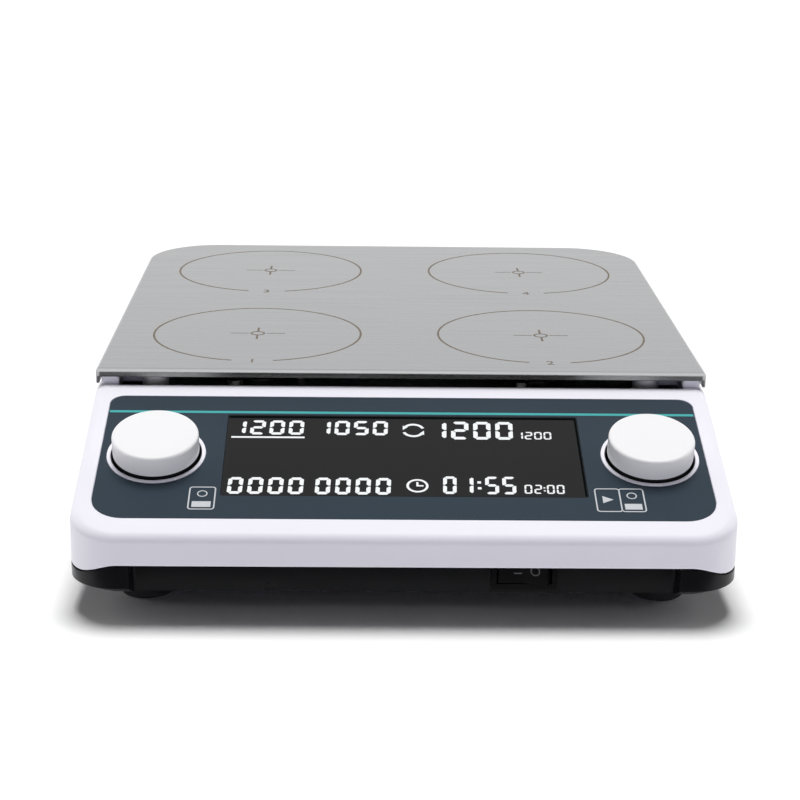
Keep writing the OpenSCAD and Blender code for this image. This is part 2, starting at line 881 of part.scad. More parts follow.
// Moves children to the switch: X across, +Y inwards, Z up, from the recess wall
module at_switch() {
    translate([switch_x, recess_y, switch_z]) children();
}

module switch_body() {
    hollow_w = 2 * (rocker_r + rocker_gap);
    hollow_h = rocker_h + 2 * rocker_play;
    color("black") at_switch() {
        difference() {
            union() {
                translate([-bezel_w / 2, -bezel_t, -bezel_h / 2]) cube([bezel_w, bezel_t, bezel_h]);
                translate([-switch_body_w / 2, -bezel_t / 2, -switch_body_h / 2])
                    cube([switch_body_w, switch_depth + bezel_t / 2, switch_body_h]);
            }
            translate([-hollow_w / 2, -bezel_t - over, -hollow_h / 2])
                cube([hollow_w, over + pivot_depth + rocker_room, hollow_h]);
            translate([0, pivot_depth - bezel_t, -switch_body_h / 2 - over])
                cylinder(r = pin_r + run, h = switch_body_h + 2 * over);
        }
        for (x = [-switch_body_w / 4, switch_body_w / 4])
            translate([x - tab_t / 2, switch_depth - over, -tab_w / 2])
                cube([tab_t, tab_l + over, tab_w]);
    }
}

module switch_rocker() {
    reach = 2 * rocker_r;
    rise = reach * tan(rocker_tilt);
    color("black") at_switch() translate([0, pivot_depth - bezel_t, 0]) rotate([0, 0, -rocker_tilt]) {
        translate([0, 0, -rocker_h / 2]) linear_extrude(rocker_h) intersection() {
            circle(rocker_r);
            polygon([[0, -rocker_valley], [reach, -rocker_valley - rise], [reach, rocker_under],
                     [-reach, rocker_under], [-reach, -rocker_valley - rise]]);
        }
        translate([0, 0, -rocker_h / 2 - pin_l]) cylinder(r = pin_r, h = rocker_h + 2 * pin_l);
    }
}

// Motor deck and stirring drives

module motor_deck() {
    color("gray") difference() {
        translate([0, 0, deck_z]) linear_extrude(deck_t)
            plan_shape(deck_half, deck_front, deck_back, rim_corner_r, rim_corner_r);
        for (i = NUMBERS) at_position(i) {
            translate([0, 0, deck_z - over]) cylinder(r = motor_boss_r + loose, h = deck_t + 2 * over);
            motor_screw_places() translate([0, 0, deck_z - over])
                cylinder(r = screw_r + screw_fit, h = deck_t + 2 * over);
        }
        mirrored(spacer_x, spacer_y) translate([0, 0, deck_z - over])
            cylinder(r = stud_r + screw_fit, h = deck_t + 2 * over);
        mirrored(pillar_x, pillar_y) translate([0, 0, deck_z - over])
            cylinder(r = screw_r + screw_fit, h = deck_t + 2 * over);
    }
}

// Places of one motor's fixing screws
module motor_screw_places() {
    for (turn = [0:120:240]) rotate(turn) translate([motor_screw_at, 0, 0]) children();
}

module stir_motor(i) {
    color("dimgray") at_position(i) difference() {
        union() {
            translate([0, 0, motor_z]) cylinder(r = motor_d / 2, h = motor_h);
            translate([0, 0, motor_z - motor_boss_h])
                cylinder(r = motor_boss_r, h = motor_h + 2 * motor_boss_h);
        }
        translate([0, 0, motor_z + motor_cap])
            cylinder(r = motor_rotor_r + air_gap, h = motor_h - 2 * motor_cap);
        translate([0, 0, motor_z - motor_boss_h - over])
            cylinder(r = shaft_d / 2 + 1, h = motor_h + 2 * motor_boss_h + 2 * over);
        bearing_places() cylinder(r = bearing_r, h = bearing_h);
        motor_screw_places() translate([0, 0, motor_top - motor_screw_l])
            cylinder(r = screw_r, h = motor_screw_l + over);
    }
}

// Seats of one motor's two bearings, flush with the ends of its bosses
module bearing_places() {
    translate([0, 0, motor_z - motor_boss_h]) children();
    translate([0, 0, motor_top + motor_boss_h - bearing_h]) children();
}

module motor_bearings() {
    color("silver") for (i = NUMBERS) at_position(i) bearing_places() difference() {
        cylinder(r = bearing_r, h = bearing_h);
        translate([0, 0, -over]) cylinder(r = shaft_d / 2 + run, h = bearing_h + 2 * over);
    }
}

module motor_rotor(i) {
    end_gap = 1;
    z = motor_z + motor_cap + end_gap;
    h = motor_h - 2 * motor_cap - 2 * end_gap;
    color("darkgray") at_position(i) difference() {
        translate([0, 0, z]) cylinder(r = motor_rotor_r, h = h);
        translate([0, 0, z - over]) cylinder(r = shaft_d / 2, h = h + 2 * over);
    }
}

module motor_shaft(i) {
    z = motor_z - motor_boss_h - 0.5;
    color("gainsboro") at_position(i) translate([0, 0, z])
        cylinder(r = shaft_d / 2, h = holder_top - 1 - z);
}

module magnet_holder(i) {
    color("black") at_position(i) difference() {
        union() {
            translate([0, 0, holder_z]) cylinder(r = holder_d / 2, h = holder_h);
            translate([0, 0, hub_z]) cylinder(r = hub_r, h = hub_h + holder_h / 2);
        }
        translate([0, 0, hub_z - over]) cylinder(r = shaft_d / 2, h = holder_top - 1 - hub_z + over);
        magnet_places() cylinder(r = magnet_d / 2 + loose / 2, h = magnet_h + over);
    }
}

// Seats of one holder's two magnets, open at the top
module magnet_places() {
    for (side = [-1, 1]) translate([side * magnet_at, 0, holder_top - magnet_h]) children();
}

module stir_magnets(i) {
    color("silver") at_position(i) magnet_places() cylinder(r = magnet_d / 2, h = magnet_h);
}

module motor_screws() {
    color("silver") for (i = NUMBERS) at_position(i) motor_screw_places()
        translate([0, 0, deck_top]) screw(screw_r, motor_screw_l + deck_t, screw_head_r, screw_head_t);
}

module deck_screws() {
    color("silver") mirrored(pillar_x, pillar_y) translate([0, 0, deck_top])
        screw(screw_r, pillar_screw_l + deck_t - over, screw_head_r, screw_head_t);
}

// Driver board, cable, inlet, feet and joining screws

module driver_board() {
    color("darkgreen") {
        difference() {
            translate([-driver_w / 2, pattern_y - driver_l / 2, driver_z])
                cube([driver_w, driver_l, board_t]);
            mirrored(driver_boss[0], [pattern_y - driver_boss[1], pattern_y + driver_boss[1]])
                translate([0, 0, driver_z - over])
                    cylinder(r = board_screw_r + screw_fit, h = board_t + 2 * over);
        }
        translate([-socket_w / 2, pattern_y - driver_l / 2 + driver_socket_in, driver_z + board_t / 2])
            cube([socket_w, socket_l, socket_h + board_t / 2]);
        for (i = NUMBERS) translate([(i - 2.5) * chip_pitch, pattern_y, driver_z + board_t / 2]) {
            translate([-chip_w / 2, -chip_l / 2, 0]) cube([chip_w, chip_l, chip_h]);
            translate([-plug_w / 2, plug_back, 0]) cube([plug_w, plug_l, plug_h]);
        }
        for (x = [-capacitor_x, capacitor_x])
            translate([x, pattern_y - capacitor_front, driver_z + board_t / 2])
                cylinder(r = capacitor_r, h = capacitor_h);
    }
}

module driver_board_screws() {
    color("silver")
        mirrored(driver_boss[0], [pattern_y - driver_boss[1], pattern_y + driver_boss[1]])
            translate([0, 0, driver_z + board_t])
                screw(board_screw_r, board_screw_l, board_head_r, board_head_t);
}

// Flat cable that sags from one socket to the other
module ribbon_cable() {
    socket_n = board_n - board_t - socket_h;
    start = [crease_y - socket_down * cos(panel_slope) - socket_n * sin(panel_slope),
             rim_z - socket_down * sin(panel_slope) + socket_n * cos(panel_slope)];
    end = [pattern_y - driver_l / 2 + driver_socket_in + socket_l / 2, driver_z + board_t + socket_h];
    drop = [sin(panel_slope), -cos(panel_slope)];
    curve = [start, start + ribbon_drop * drop, end + [0, ribbon_run], end];
    steps = [for (i = [0:ribbon_steps]) i / ribbon_steps];
    color("lightgray") across(ribbon_w)
        polygon(concat([for (t = steps) beside(curve, t, ribbon_t / 2)],
                       [for (i = [ribbon_steps:-1:0]) beside(curve, steps[i], -ribbon_t / 2)]));
}

module housing_screws() {
    color("silver") mirrored(join_x, join_y) translate([0, 0, join_seat]) rotate([180, 0, 0])
        screw(join_screw_r, join_z + join_bite - over - join_seat, join_head_r, join_head_t);
}

// Moves children to the inlet: +Z points out of the back wall
module at_inlet() {
    translate([inlet_x, back_y, inlet_z]) rotate([-90, 0, 0]) children();
}

module supply_inlet() {
    thread_end = -inlet_flange_t - inlet_thread_l;
    color("black") at_inlet() {
        difference() {
            union() {
                translate([0, 0, -inlet_flange_t]) cylinder(r = inlet_flange_r, h = inlet_flange_t);
                translate([0, 0, thread_end]) cylinder(r = inlet_thread_r, h = inlet_thread_l + 0.5);
                translate([0, 0, thread_end - inlet_body_l])
                    cylinder(r = inlet_body_r, h = inlet_body_l + 0.5);
            }
            translate([0, 0, thread_end]) cylinder(r = inlet_socket_r, h = inlet_thread_l + 2 * over);
        }
        translate([0, 0, thread_end - 0.5]) cylinder(r = inlet_pin_r, h = inlet_pin_l + 0.5);
        for (x = [-1.8, 1.8]) translate([x - tab_t / 2, -1.2, thread_end - inlet_body_l - inlet_tab_l])
            cube([tab_t, 2.4, inlet_tab_l + 0.5]);
    }
}

module supply_inlet_nut() {
    nut_h = 2;
    color("silver") at_inlet() translate([0, 0, -wall - nut_h])
        hex_nut(inlet_nut_across, inlet_thread_r, nut_h);
}

module foot(i) {
    p = positions[i - 1];
    color("black") translate([p[0] * foot_x, p[1] * foot_y, 0]) {
        rotate_extrude() {
            translate([0, foot_round]) square([foot_d / 2, foot_h - foot_round]);
            square([foot_d / 2 - foot_round, foot_h]);
            translate([foot_d / 2 - foot_round, foot_round]) circle(foot_round);
        }
        cylinder(r = foot_stem_r, h = floor_z);
        translate([0, 0, floor_z]) cylinder(r = foot_barb_r, h = foot_barb_t);
    }
}

upper_housing();
base_housing();
top_plate();
plate_spacers();
plate_nuts();
panel_overlay();
display_window();
display_module();
control_board();
control_board_screws();
driver_board();
driver_board_screws();
ribbon_cable();
buzzer();
switch_body();
switch_rocker();
motor_deck();
motor_bearings();
motor_screws();
deck_screws();
housing_screws();
supply_inlet();
supply_inlet_nut();
for (i = [0, 1]) {
    name = SIDES[i];
    side = 2 * i - 1;
    knob(side);
    encoder_body(side);
    encoder_nut(side);
    encoder_rotor(side);
    encoder_shaft(side);
}
for (i = NUMBERS) {
    stir_motor(i);
    motor_rotor(i);
    motor_shaft(i);
    magnet_holder(i);
    stir_magnets(i);
    foot(i);
}
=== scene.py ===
"""Looks of a four-position magnetic stirrer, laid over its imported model.

Lengths are in millimetres and become metres where a mesh is made. The frame is the part's own:
the origin is the middle of the footprint on the bench, +Z is up and the user stands at -Y.
"""

import json
import math

import bmesh
import bpy
from mathutils import Matrix, Vector


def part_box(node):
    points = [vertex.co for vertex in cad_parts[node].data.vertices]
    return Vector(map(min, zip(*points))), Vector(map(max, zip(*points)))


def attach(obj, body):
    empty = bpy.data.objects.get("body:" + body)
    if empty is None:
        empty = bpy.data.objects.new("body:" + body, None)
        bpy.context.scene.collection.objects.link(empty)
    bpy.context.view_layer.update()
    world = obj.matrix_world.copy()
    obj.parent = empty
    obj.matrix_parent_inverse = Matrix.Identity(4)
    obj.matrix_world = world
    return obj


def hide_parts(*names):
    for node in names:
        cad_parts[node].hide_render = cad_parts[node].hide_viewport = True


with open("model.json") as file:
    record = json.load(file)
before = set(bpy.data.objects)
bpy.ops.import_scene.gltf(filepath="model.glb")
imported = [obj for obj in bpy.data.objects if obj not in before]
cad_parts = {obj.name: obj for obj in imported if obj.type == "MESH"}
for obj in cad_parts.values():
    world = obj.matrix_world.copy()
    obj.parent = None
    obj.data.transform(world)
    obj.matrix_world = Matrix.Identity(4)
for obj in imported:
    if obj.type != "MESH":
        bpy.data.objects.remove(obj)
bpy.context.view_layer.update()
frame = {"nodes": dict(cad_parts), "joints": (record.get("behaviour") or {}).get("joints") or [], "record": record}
MM = 0.001


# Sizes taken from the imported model

def box_mm(node):
    """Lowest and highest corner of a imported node, in millimetres."""
    low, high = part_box(node)
    return Vector(low) / MM, Vector(high) / MM


JOINTS = {joint["name"]: joint for joint in frame["joints"]}


def joint_mm(name):
    """A joint's place, in millimetres."""
    return Vector(JOINTS[name]["pos_m"]) / MM


SHELL_LOW, SHELL_HIGH = box_mm("upper_housing")
TRAY_LOW, TRAY_HIGH = box_mm("base_housing")
SHEET_LOW, SHEET_HIGH = box_mm("top_plate")
LENS_LOW, LENS_HIGH = box_mm("display_window")
BEZEL_LOW, BEZEL_HIGH = box_mm("switch_body")
INLET_LOW, INLET_HIGH = box_mm("supply_inlet")

HALF_W = SHELL_HIGH.x
FRONT_Y = SHELL_LOW.y
BACK_Y = SHELL_HIGH.y
RIM_Z = SHELL_HIGH.z
KNOB_AXIS = Vector(JOINTS["left_knob_turn"]["axis"])
SLOPE = math.atan2(-KNOB_AXIS.y, KNOB_AXIS.z)
STIR_SPOTS = [joint_mm(f"stir_{number}_spin") for number in range(1, 5)]


# Sizes of the shells

CREASE_Y = SHEET_LOW.y - 1
CREASE_SOFT = 1.25
WALL = 2.5
FRONT_CORNER = 16
REAR_CORNER = 30
EDGE_R = 3.5
LIP_R = 0.7
PARTING_GAP = 0.4
PART_SIDE_Z = 11.7
PART_FRONT_Z = 18.7
WAVE_START = 91
WAVE_END = 105
WAVE_BACK_Y = -105
CORNER_SHARE = 0.5
TRAY_CHAMFER_IN = 8
TRAY_CHAMFER_H = 4
CHAMFER_FOOT_FLAT = 1
CHAMFER_FOOT_SOFT = 0.9
CHAMFER_TOP_SOFT = 0.8
CHAMFER_TOP_RISE = 0.25
TONGUE_IN = 2.7
TONGUE_T = 2
TONGUE_RISE = 1.5
TRAY_FLOOR = 2.5
RECESS_HALF = 87
RECESS_Y = -136
RECESS_ROOF = 24.1
RECESS_WALL = 2.5
RECESS_R = 1.5
RECESS_ROOF_T = 1.5
RECESS_BLOCK_IN = 4.5
RECESS_BLOCK_FOOT = 2
RECESS_BLOCK_R = 1
SWITCH_HOLE_HALF = 9.2
SWITCH_HOLE_HALF_H = 6.2
SWITCH_HOLE_R = 0.5
RIM_HALF = 92
RIM_FRONT = -60
RIM_BACK = 133
RIM_R = 6
GAP_HALF = 99
GAP_FRONT = -63.2
GAP_BACK = -50
GAP_R = 1
RIM_END_OUT = 105.2
RIM_END_FRONT = -61
RIM_END_TOP = 58.3
RIM_END_ROOT = 1
RIM_END_R = 1
INLET_PLAY = 0.15

# Sizes of the panel, in its own axes: across, up the slope and out of the panel

POCKET_HALF = 100.7
POCKET_TOP = 6.3
POCKET_FOOT = 75.5
POCKET_DEPTH = 0.5
POCKET_TOP_R = 5
POCKET_FOOT_R = 11
WINDOW_PLAY = 0.15
WINDOW_R = 0.8
LENS_R = 0.6
WELL_R = 15.05
WELL_DEPTH = 6.5
WELL_FLOOR = 1.8
COLLAR_R = 16.35
COLLAR_RISE = 0.3
COLLAR_SOFT = 0.3
COLLAR_ROOT = 1
WELL_HOLE_R = 15.9
WELL_PLAY = 0.1
BUSH_HOLE_R = 3.7
KNOB_R = 14.3
KNOB_TOP = 8
KNOB_FOOT = -4.5
KNOB_EDGE = 1.0
KNOB_SEAM_SOFT = 0.4
KNOB_SKIRT_R = 13.9
KNOB_SKIRT_TOP = 0.9
KNOB_SKIRT_CHAMFER = 0.3
SHADE_CUP_T = 0.3
SHADE_CUP_DROP = 0.2
KNOB_WALL = 2.4
KNOB_CROWN = 3
KNOB_BOSS_R = 5.5
KNOB_BOSS_FOOT = -2
KNOB_SHAFT_R = 3
KNOB_SHAFT_TOP = 5
ROUND_STEPS = 128
PRINT_FACE = -0.1
PRINT_T = 0.03

# Sizes of the plate

PLATE_T = 1.2
PLATE_BEND = 1.4
PLATE_FRONT_CORNER = 1.6
PLATE_REAR_CORNER = 29.7
PLATE_FLANGE = 5.5
PLATE_LIP = 3
PLATE_LIP_FACING = -0.75
PLATE_EDGE = 0.2
PLATE_FACE = SHEET_HIGH.z - PRINT_T
STUD_R = 2
STUD_TIP = 0.4
STUD_INSET = 4.75
RING_R = 38.5
RING_STROKE = 0.75
RING_GAP_HALF = 7.4
CENTRE_R = 2.4
CENTRE_STROKE = 0.7
TICK_ACROSS = (3.2, 10.2)
TICK_ACROSS_HALF = 0.2
TICK_ALONG = (3.0, 8.2)
TICK_ALONG_HALF = 0.4
NUMERAL_SIZE = 6.2

# How far the cutting tools reach past the faces that they open

RIM_CUT = 8
GAP_CUT = 7
POCKET_CUT = 5
WINDOW_CUT = (-6, 4)
KNOB_HOLE_CUT = (-9, 3)
INLET_CUT = (-3, 4)
CAVITY_CUT = 20
RECESS_CUT_OUT = 12
RECESS_CUT_DOWN = 5
SWITCH_HOLE_CUT = (-2, 6)


# Mesh tools

def as_object(name, bm):
    """Makes an object in metres of a closed mesh drawn in millimetres."""
    bmesh.ops.recalc_face_normals(bm, faces=bm.faces)
    bmesh.ops.scale(bm, vec=(MM, MM, MM), verts=bm.verts)
    mesh = bpy.data.meshes.new(name)
    bm.to_mesh(mesh)
    bm.free()
    piece = bpy.data.objects.new(name, mesh)
    bpy.context.scene.collection.objects.link(piece)
    return piece


def flat_cap(bm, loop):
    """Closes a loop with one flat face."""
    bm.faces.new(loop)


def loft(name, rows, first_cap=flat_cap, last_cap=flat_cap):
    """A closed solid through rows of equally many points."""
    bm = bmesh.new()
    loops = [[bm.verts.new(point) for point in row] for row in rows]
    for low, high in zip(loops, loops[1:]):
        for i in range(len(low)):
            j = (i + 1) % len(low)
            bm.faces.new((low[i], low[j], high[j], high[i]))
    first_cap(bm, loops[0])
    last_cap(bm, loops[-1])
    return as_object(name, bm)


def revolve(name, profile, place, steps=96):
    """A closed solid turned from (radius, height) points that start and end on the axis."""
    bm = bmesh.new()
    rows = []
    for radius, height in profile:
        count = steps if radius > 0 else 1
        turns = [2 * math.pi * i / steps for i in range(count)]
        rows.append([bm.verts.new((radius * math.cos(t), radius * math.sin(t), height)) for t in turns])
    for low, high in zip(rows, rows[1:]):
        for i in range(steps):
            j = (i + 1) % steps
            corners = [low[i % len(low)], low[j % len(low)], high[j % len(high)], high[i % len(high)]]
            bm.faces.new(list(dict.fromkeys(corners)))
    bmesh.ops.transform(bm, matrix=place, verts=bm.verts)
    return as_object(name, bm)


def ring_solid(name, profile, place, steps=96):
    """A closed ring turned from a closed profile of (radius, height) points."""
    turns = [2 * math.pi * i / steps for i in range(steps)]
    bm = bmesh.new()
    rows = [[bm.verts.new((r * math.cos(t), r * math.sin(t), h)) for t in turns] for r, h in profile]
    for low, high in zip(rows, rows[1:] + rows[:1]):
        for i in range(steps):
            j = (i + 1) % steps
            bm.faces.new((low[i], low[j], high[j], high[i]))
    bmesh.ops.transform(bm, matrix=place, verts=bm.verts)
    return as_object(name, bm)


def arc(centre, radius, start, end, steps):
    """Points on an arc, angles in degrees."""
    angles = [math.radians(start + (end - start) * i / steps) for i in range(steps + 1)]
    return [(centre[0] + radius * math.cos(a), centre[1] + radius * math.sin(a)) for a in angles]


def curve(start, pull, end, steps):
    """Points on a smooth bend between two points."""
    points = []
    for i in range(steps + 1):
        t = i / steps
        points.append(tuple(a * (1 - t) ** 2 + 2 * b * t * (1 - t) + c * t * t
                            for a, b, c in zip(start, pull, end)))
    return points


def rounded_box(x0, y0, x1, y1, radius, steps=10):
    """A rectangle's outline with rounded corners, anticlockwise."""
    points = arc((x1 - radius, y0 + radius), radius, -90, 0, steps)
    points += arc((x1 - radius, y1 - radius), radius, 0, 90, steps)
    points += arc((x0 + radius, y1 - radius), radius, 90, 180, steps)
    points += arc((x0 + radius, y0 + radius), radius, 180, 270, steps)
    return points


def prism(name, outline, z0, z1, place=Matrix.Identity(4)):
    """A straight prism on an outline."""
    rows = [[place @ Vector((x, y, z)) for x, y in outline] for z in (z0, z1)]
    return loft(name, rows)


def plug(name, radius, reach, place, steps=96):
    """A plain cylinder that reaches from one height to another."""
    low, high = reach
    return revolve(name, [(0, low), (radius, low), (radius, high), (0, high)], place, steps)


def gathered(tools):
    """Several tools that don't touch, as one object."""
    bm = bmesh.new()
    for tool in tools:
        bm.from_mesh(tool.data)
        bpy.data.objects.remove(tool)
    mesh = bpy.data.meshes.new("tool")
    bm.to_mesh(mesh)
    bm.free()
    tool = bpy.data.objects.new("tool", mesh)
    bpy.context.scene.collection.objects.link(tool)
    return tool


def carve(piece, *tools, operation="DIFFERENCE"):
    """Cuts tools out of a piece, or joins them on, and drops the tools."""
    tool = gathered(tools)
    step = piece.modifiers.new("carve", "BOOLEAN")
    step.object = tool
    step.operation = operation
    step.solver = "EXACT"
    bpy.context.view_layer.update()
    shape = bpy.data.meshes.new_from_object(piece.evaluated_get(bpy.context.evaluated_depsgraph_get()))
    shape.name = piece.name
    piece.modifiers.clear()
    piece.data = shape
    bpy.data.objects.remove(tool)
    return piece


def smooth(piece, angle=32):
    """Shades a piece smoothly, with its sharp edges kept and its flat faces kept flat."""
    piece.data.shade_smooth()
    piece.data.set_sharp_from_angle(angle=math.radians(angle))
    weights = piece.modifiers.new("even shading", "WEIGHTED_NORMAL")
    weights.keep_sharp = True
    return piece


def settle(piece, finish, body, slot, *nodes):
    """Gives a piece its finish and its body, and hides the nodes that it stands for; slot is not used."""
    piece.data.materials.clear()
    piece.data.materials.append(finish)
    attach(piece, body)
    if nodes:
        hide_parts(*nodes)
    return piece


# Node groups shared by the finishes

def add_node(tree, kind, settings=None, inputs=None):
    """A node with its settings, and with values or links on its inputs."""
    node = tree.nodes.new(kind)
    for key, value in (settings or {}).items():
        setattr(node, key, value)
    for key, value in (inputs or {}).items():
        if isinstance(value, bpy.types.NodeSocket):
            tree.links.new(value, node.inputs[key])
        else:
            node.inputs[key].default_value = value
    return node


def new_group(name, inputs, outputs):
    """An empty node group with its sockets: the tree, its inputs and its output node."""
    tree = bpy.data.node_groups.new(name, "ShaderNodeTree")
    for label, kind, value in inputs:
        socket = tree.interface.new_socket(label, in_out="INPUT", socket_type=kind)
        socket.default_value = value
    for label, kind in outputs:
        tree.interface.new_socket(label, in_out="OUTPUT", socket_type=kind)
    return tree, tree.nodes.new("NodeGroupInput").outputs, tree.nodes.new("NodeGroupOutput")


def stretched_noise(tree, stretch, scale, detail):
    """Noise on the piece's own coordinates, drawn out along the axes."""
    place = add_node(tree, "ShaderNodeTexCoord")
    drawn = add_node(tree, "ShaderNodeVectorMath", {"operation": "MULTIPLY"},
                     {0: place.outputs["Object"], 1: stretch})
    noise = add_node(tree, "ShaderNodeTexNoise", None,
                     {"Vector": drawn.outputs[0], "Scale": scale, "Detail": detail})
    return noise.outputs["Fac"]


def spread_about(tree, fac, middle, spread):
    """Turns noise between 0.25 and 0.75 into a value within a spread of the middle."""
    centred = add_node(tree, "ShaderNodeMath", {"operation": "SUBTRACT"}, {0: fac, 1: 0.5})
    wide = add_node(tree, "ShaderNodeMath", {"operation": "MULTIPLY"}, {0: centred.outputs[0], 1: 4.0})
    swing = add_node(tree, "ShaderNodeMath", {"operation": "MULTIPLY"}, {0: wide.outputs[0], 1: spread})
    total = add_node(tree, "ShaderNodeMath", {"operation": "ADD"}, {0: swing.outputs[0], 1: middle})
    return total.outputs[0]


def make_tone_group():
    """A colour that drifts a little lighter and darker over the piece."""
    tree, inputs, output = new_group(
        "tone_drift",
        [("Base", "NodeSocketColor", (1, 1, 1, 1)), ("Spread", "NodeSocketFloat", 0.02),
         ("Scale", "NodeSocketFloat", 20.0), ("Stretch", "NodeSocketVector", (1, 1, 1))],
        [("Colour", "NodeSocketColor")])
    fac = stretched_noise(tree, inputs["Stretch"], inputs["Scale"], 4.0)
    tone = spread_about(tree, fac, 1.0, inputs["Spread"])
    tinted = add_node(tree, "ShaderNodeVectorMath", {"operation": "SCALE"},
                      {0: inputs["Base"], "Scale": tone})
    tree.links.new(tinted.outputs[0], output.inputs["Colour"])
    return tree


def make_rough_group():
    """A roughness that varies as handling and moulding leave it."""
    tree, inputs, output = new_group(
        "handled_roughness",
        [("Middle", "NodeSocketFloat", 0.4), ("Spread", "NodeSocketFloat", 0.05),
         ("Scale", "NodeSocketFloat", 30.0), ("Stretch", "NodeSocketVector", (1, 1, 1))],
        [("Roughness", "NodeSocketFloat")])
    fac = stretched_noise(tree, inputs["Stretch"], inputs["Scale"], 6.0)
    value = spread_about(tree, fac, inputs["Middle"], inputs["Spread"])
    held = add_node(tree, "ShaderNodeClamp", None, {"Value": value, "Min": 0.05, "Max": 1.0})
    tree.links.new(held.outputs[0], output.inputs["Roughness"])
    return tree


def make_grain_group():
    """The fine relief of a moulded, brushed or etched surface."""
    tree, inputs, output = new_group(
        "surface_grain",
        [("Scale", "NodeSocketFloat", 3000.0), ("Stretch", "NodeSocketVector", (1, 1, 1))],
        [("Height", "NodeSocketFloat")])
    fac = stretched_noise(tree, inputs["Stretch"], inputs["Scale"], 3.0)
    tree.links.new(fac, output.inputs["Height"])
    return tree


def make_fold_group():
    """A colour lifted where the surface turns from level to upright: a painted highlight along a fold."""
    tree, inputs, output = new_group(
        "painted_fold_highlight",
        [("Base", "NodeSocketColor", (1, 1, 1, 1)), ("Lift", "NodeSocketFloat", 0.0)],
        [("Colour", "NodeSocketColor")])
    facing = add_node(tree, "ShaderNodeNewGeometry")
    axes = add_node(tree, "ShaderNodeSeparateXYZ", None, {0: facing.outputs["Normal"]})
    level = axes.outputs["Z"]
    upright = add_node(tree, "ShaderNodeMath", {"operation": "SUBTRACT"}, {0: 1.0, 1: level})
    turning = add_node(tree, "ShaderNodeMath", {"operation": "MULTIPLY", "use_clamp": True},
                       {0: level, 1: upright.outputs[0]})
    lift = add_node(tree, "ShaderNodeMath", {"operation": "MULTIPLY_ADD"},
                    {0: turning.outputs[0], 1: inputs["Lift"], 2: 1.0})
    tinted = add_node(tree, "ShaderNodeVectorMath", {"operation": "SCALE"},
                      {0: inputs["Base"], "Scale": lift.outputs[0]})
    tree.links.new(tinted.outputs[0], output.inputs["Colour"])
    return tree


TONE_GROUP = make_tone_group()
FOLD_HIGHLIGHT_GROUP = make_fold_group()
ROUGH_GROUP = make_rough_group()
GRAIN_GROUP = make_grain_group()
GRAIN_DISTANCE = 0.00004


def use_group(tree, group, inputs):
    """A shared group placed in a material."""
    node = tree.nodes.new("ShaderNodeGroup")
    node.node_tree = group
    for key, value in inputs.items():
        node.inputs[key].default_value = value
    return node


def make_finish(name, base, tone, rough, grain, shader=None):
    """A finish: tone is (spread, scale, stretch), rough has a middle before these, and grain is
    (scale, stretch, depth)."""
    material = bpy.data.materials.new(name)
    material.use_nodes = True
    tree = material.node_tree
    principled = tree.nodes["Principled BSDF"]
    colour = use_group(tree, TONE_GROUP,
                       {"Base": (*base, 1), "Spread": tone[0], "Scale": tone[1], "Stretch": tone[2]})
    tree.links.new(colour.outputs["Colour"], principled.inputs["Base Color"])
    roughness = use_group(tree, ROUGH_GROUP,
                          {"Middle": rough[0], "Spread": rough[1], "Scale": rough[2], "Stretch": rough[3]})
    tree.links.new(roughness.outputs["Roughness"], principled.inputs["Roughness"])
    relief = use_group(tree, GRAIN_GROUP, {"Scale": grain[0], "Stretch": grain[1]})
    bump = add_node(tree, "ShaderNodeBump", None,
                    {"Strength": grain[2], "Distance": GRAIN_DISTANCE, "Height": relief.outputs["Height"]})
    tree.links.new(bump.outputs["Normal"], principled.inputs["Normal"])
    for key, value in (shader or {}).items():
        principled.inputs[key].default_value = value
    return material


EVEN = (1, 1, 1)
ALONG_X = (0.02, 1, 1)
ALONG_Y = (1, 0.02, 1)
ROUND_Z = (0.05, 0.05, 1)
INK_GRAIN = 5200


def moulding(name, base, rough, depth, grain=2600, drift=0.015, level=0.5):
    """A moulded plastic or rubber: its colour, roughness and depth of grain, and then finer values."""
    return make_finish(name, base, (drift, 16, EVEN), (rough, 0.05, 40, EVEN), (grain, EVEN, depth),
                       {"Specular IOR Level": level})


def ink(name, base, rough=0.45, depth=0.05, drift=0.03, level=0.2):
    """A printed ink, with a very fine grain."""
    return moulding(name, base, rough, depth, INK_GRAIN, drift, level)


def metal(name, base, rough, depth, stretch=EVEN, grain=1800, drift=0.03, bare=1.0):
    """A bare or dulled metal, with its working marks drawn out along one direction."""
    return make_finish(name, base, (drift, 900, stretch), (rough, 0.06, 700, stretch),
                       (grain, stretch, depth), {"Metallic": bare})


def rub_folds(material, lift):
    """Paints a highlight into the folds of a sheet metal finish."""
    tree = material.node_tree
    colour = tree.nodes["Principled BSDF"].inputs["Base Color"]
    drift = colour.links[0].from_socket
    fold = use_group(tree, FOLD_HIGHLIGHT_GROUP, {"Lift": lift})
    tree.links.new(drift, fold.inputs["Base"])
    tree.links.new(fold.outputs["Colour"], colour)
    return material


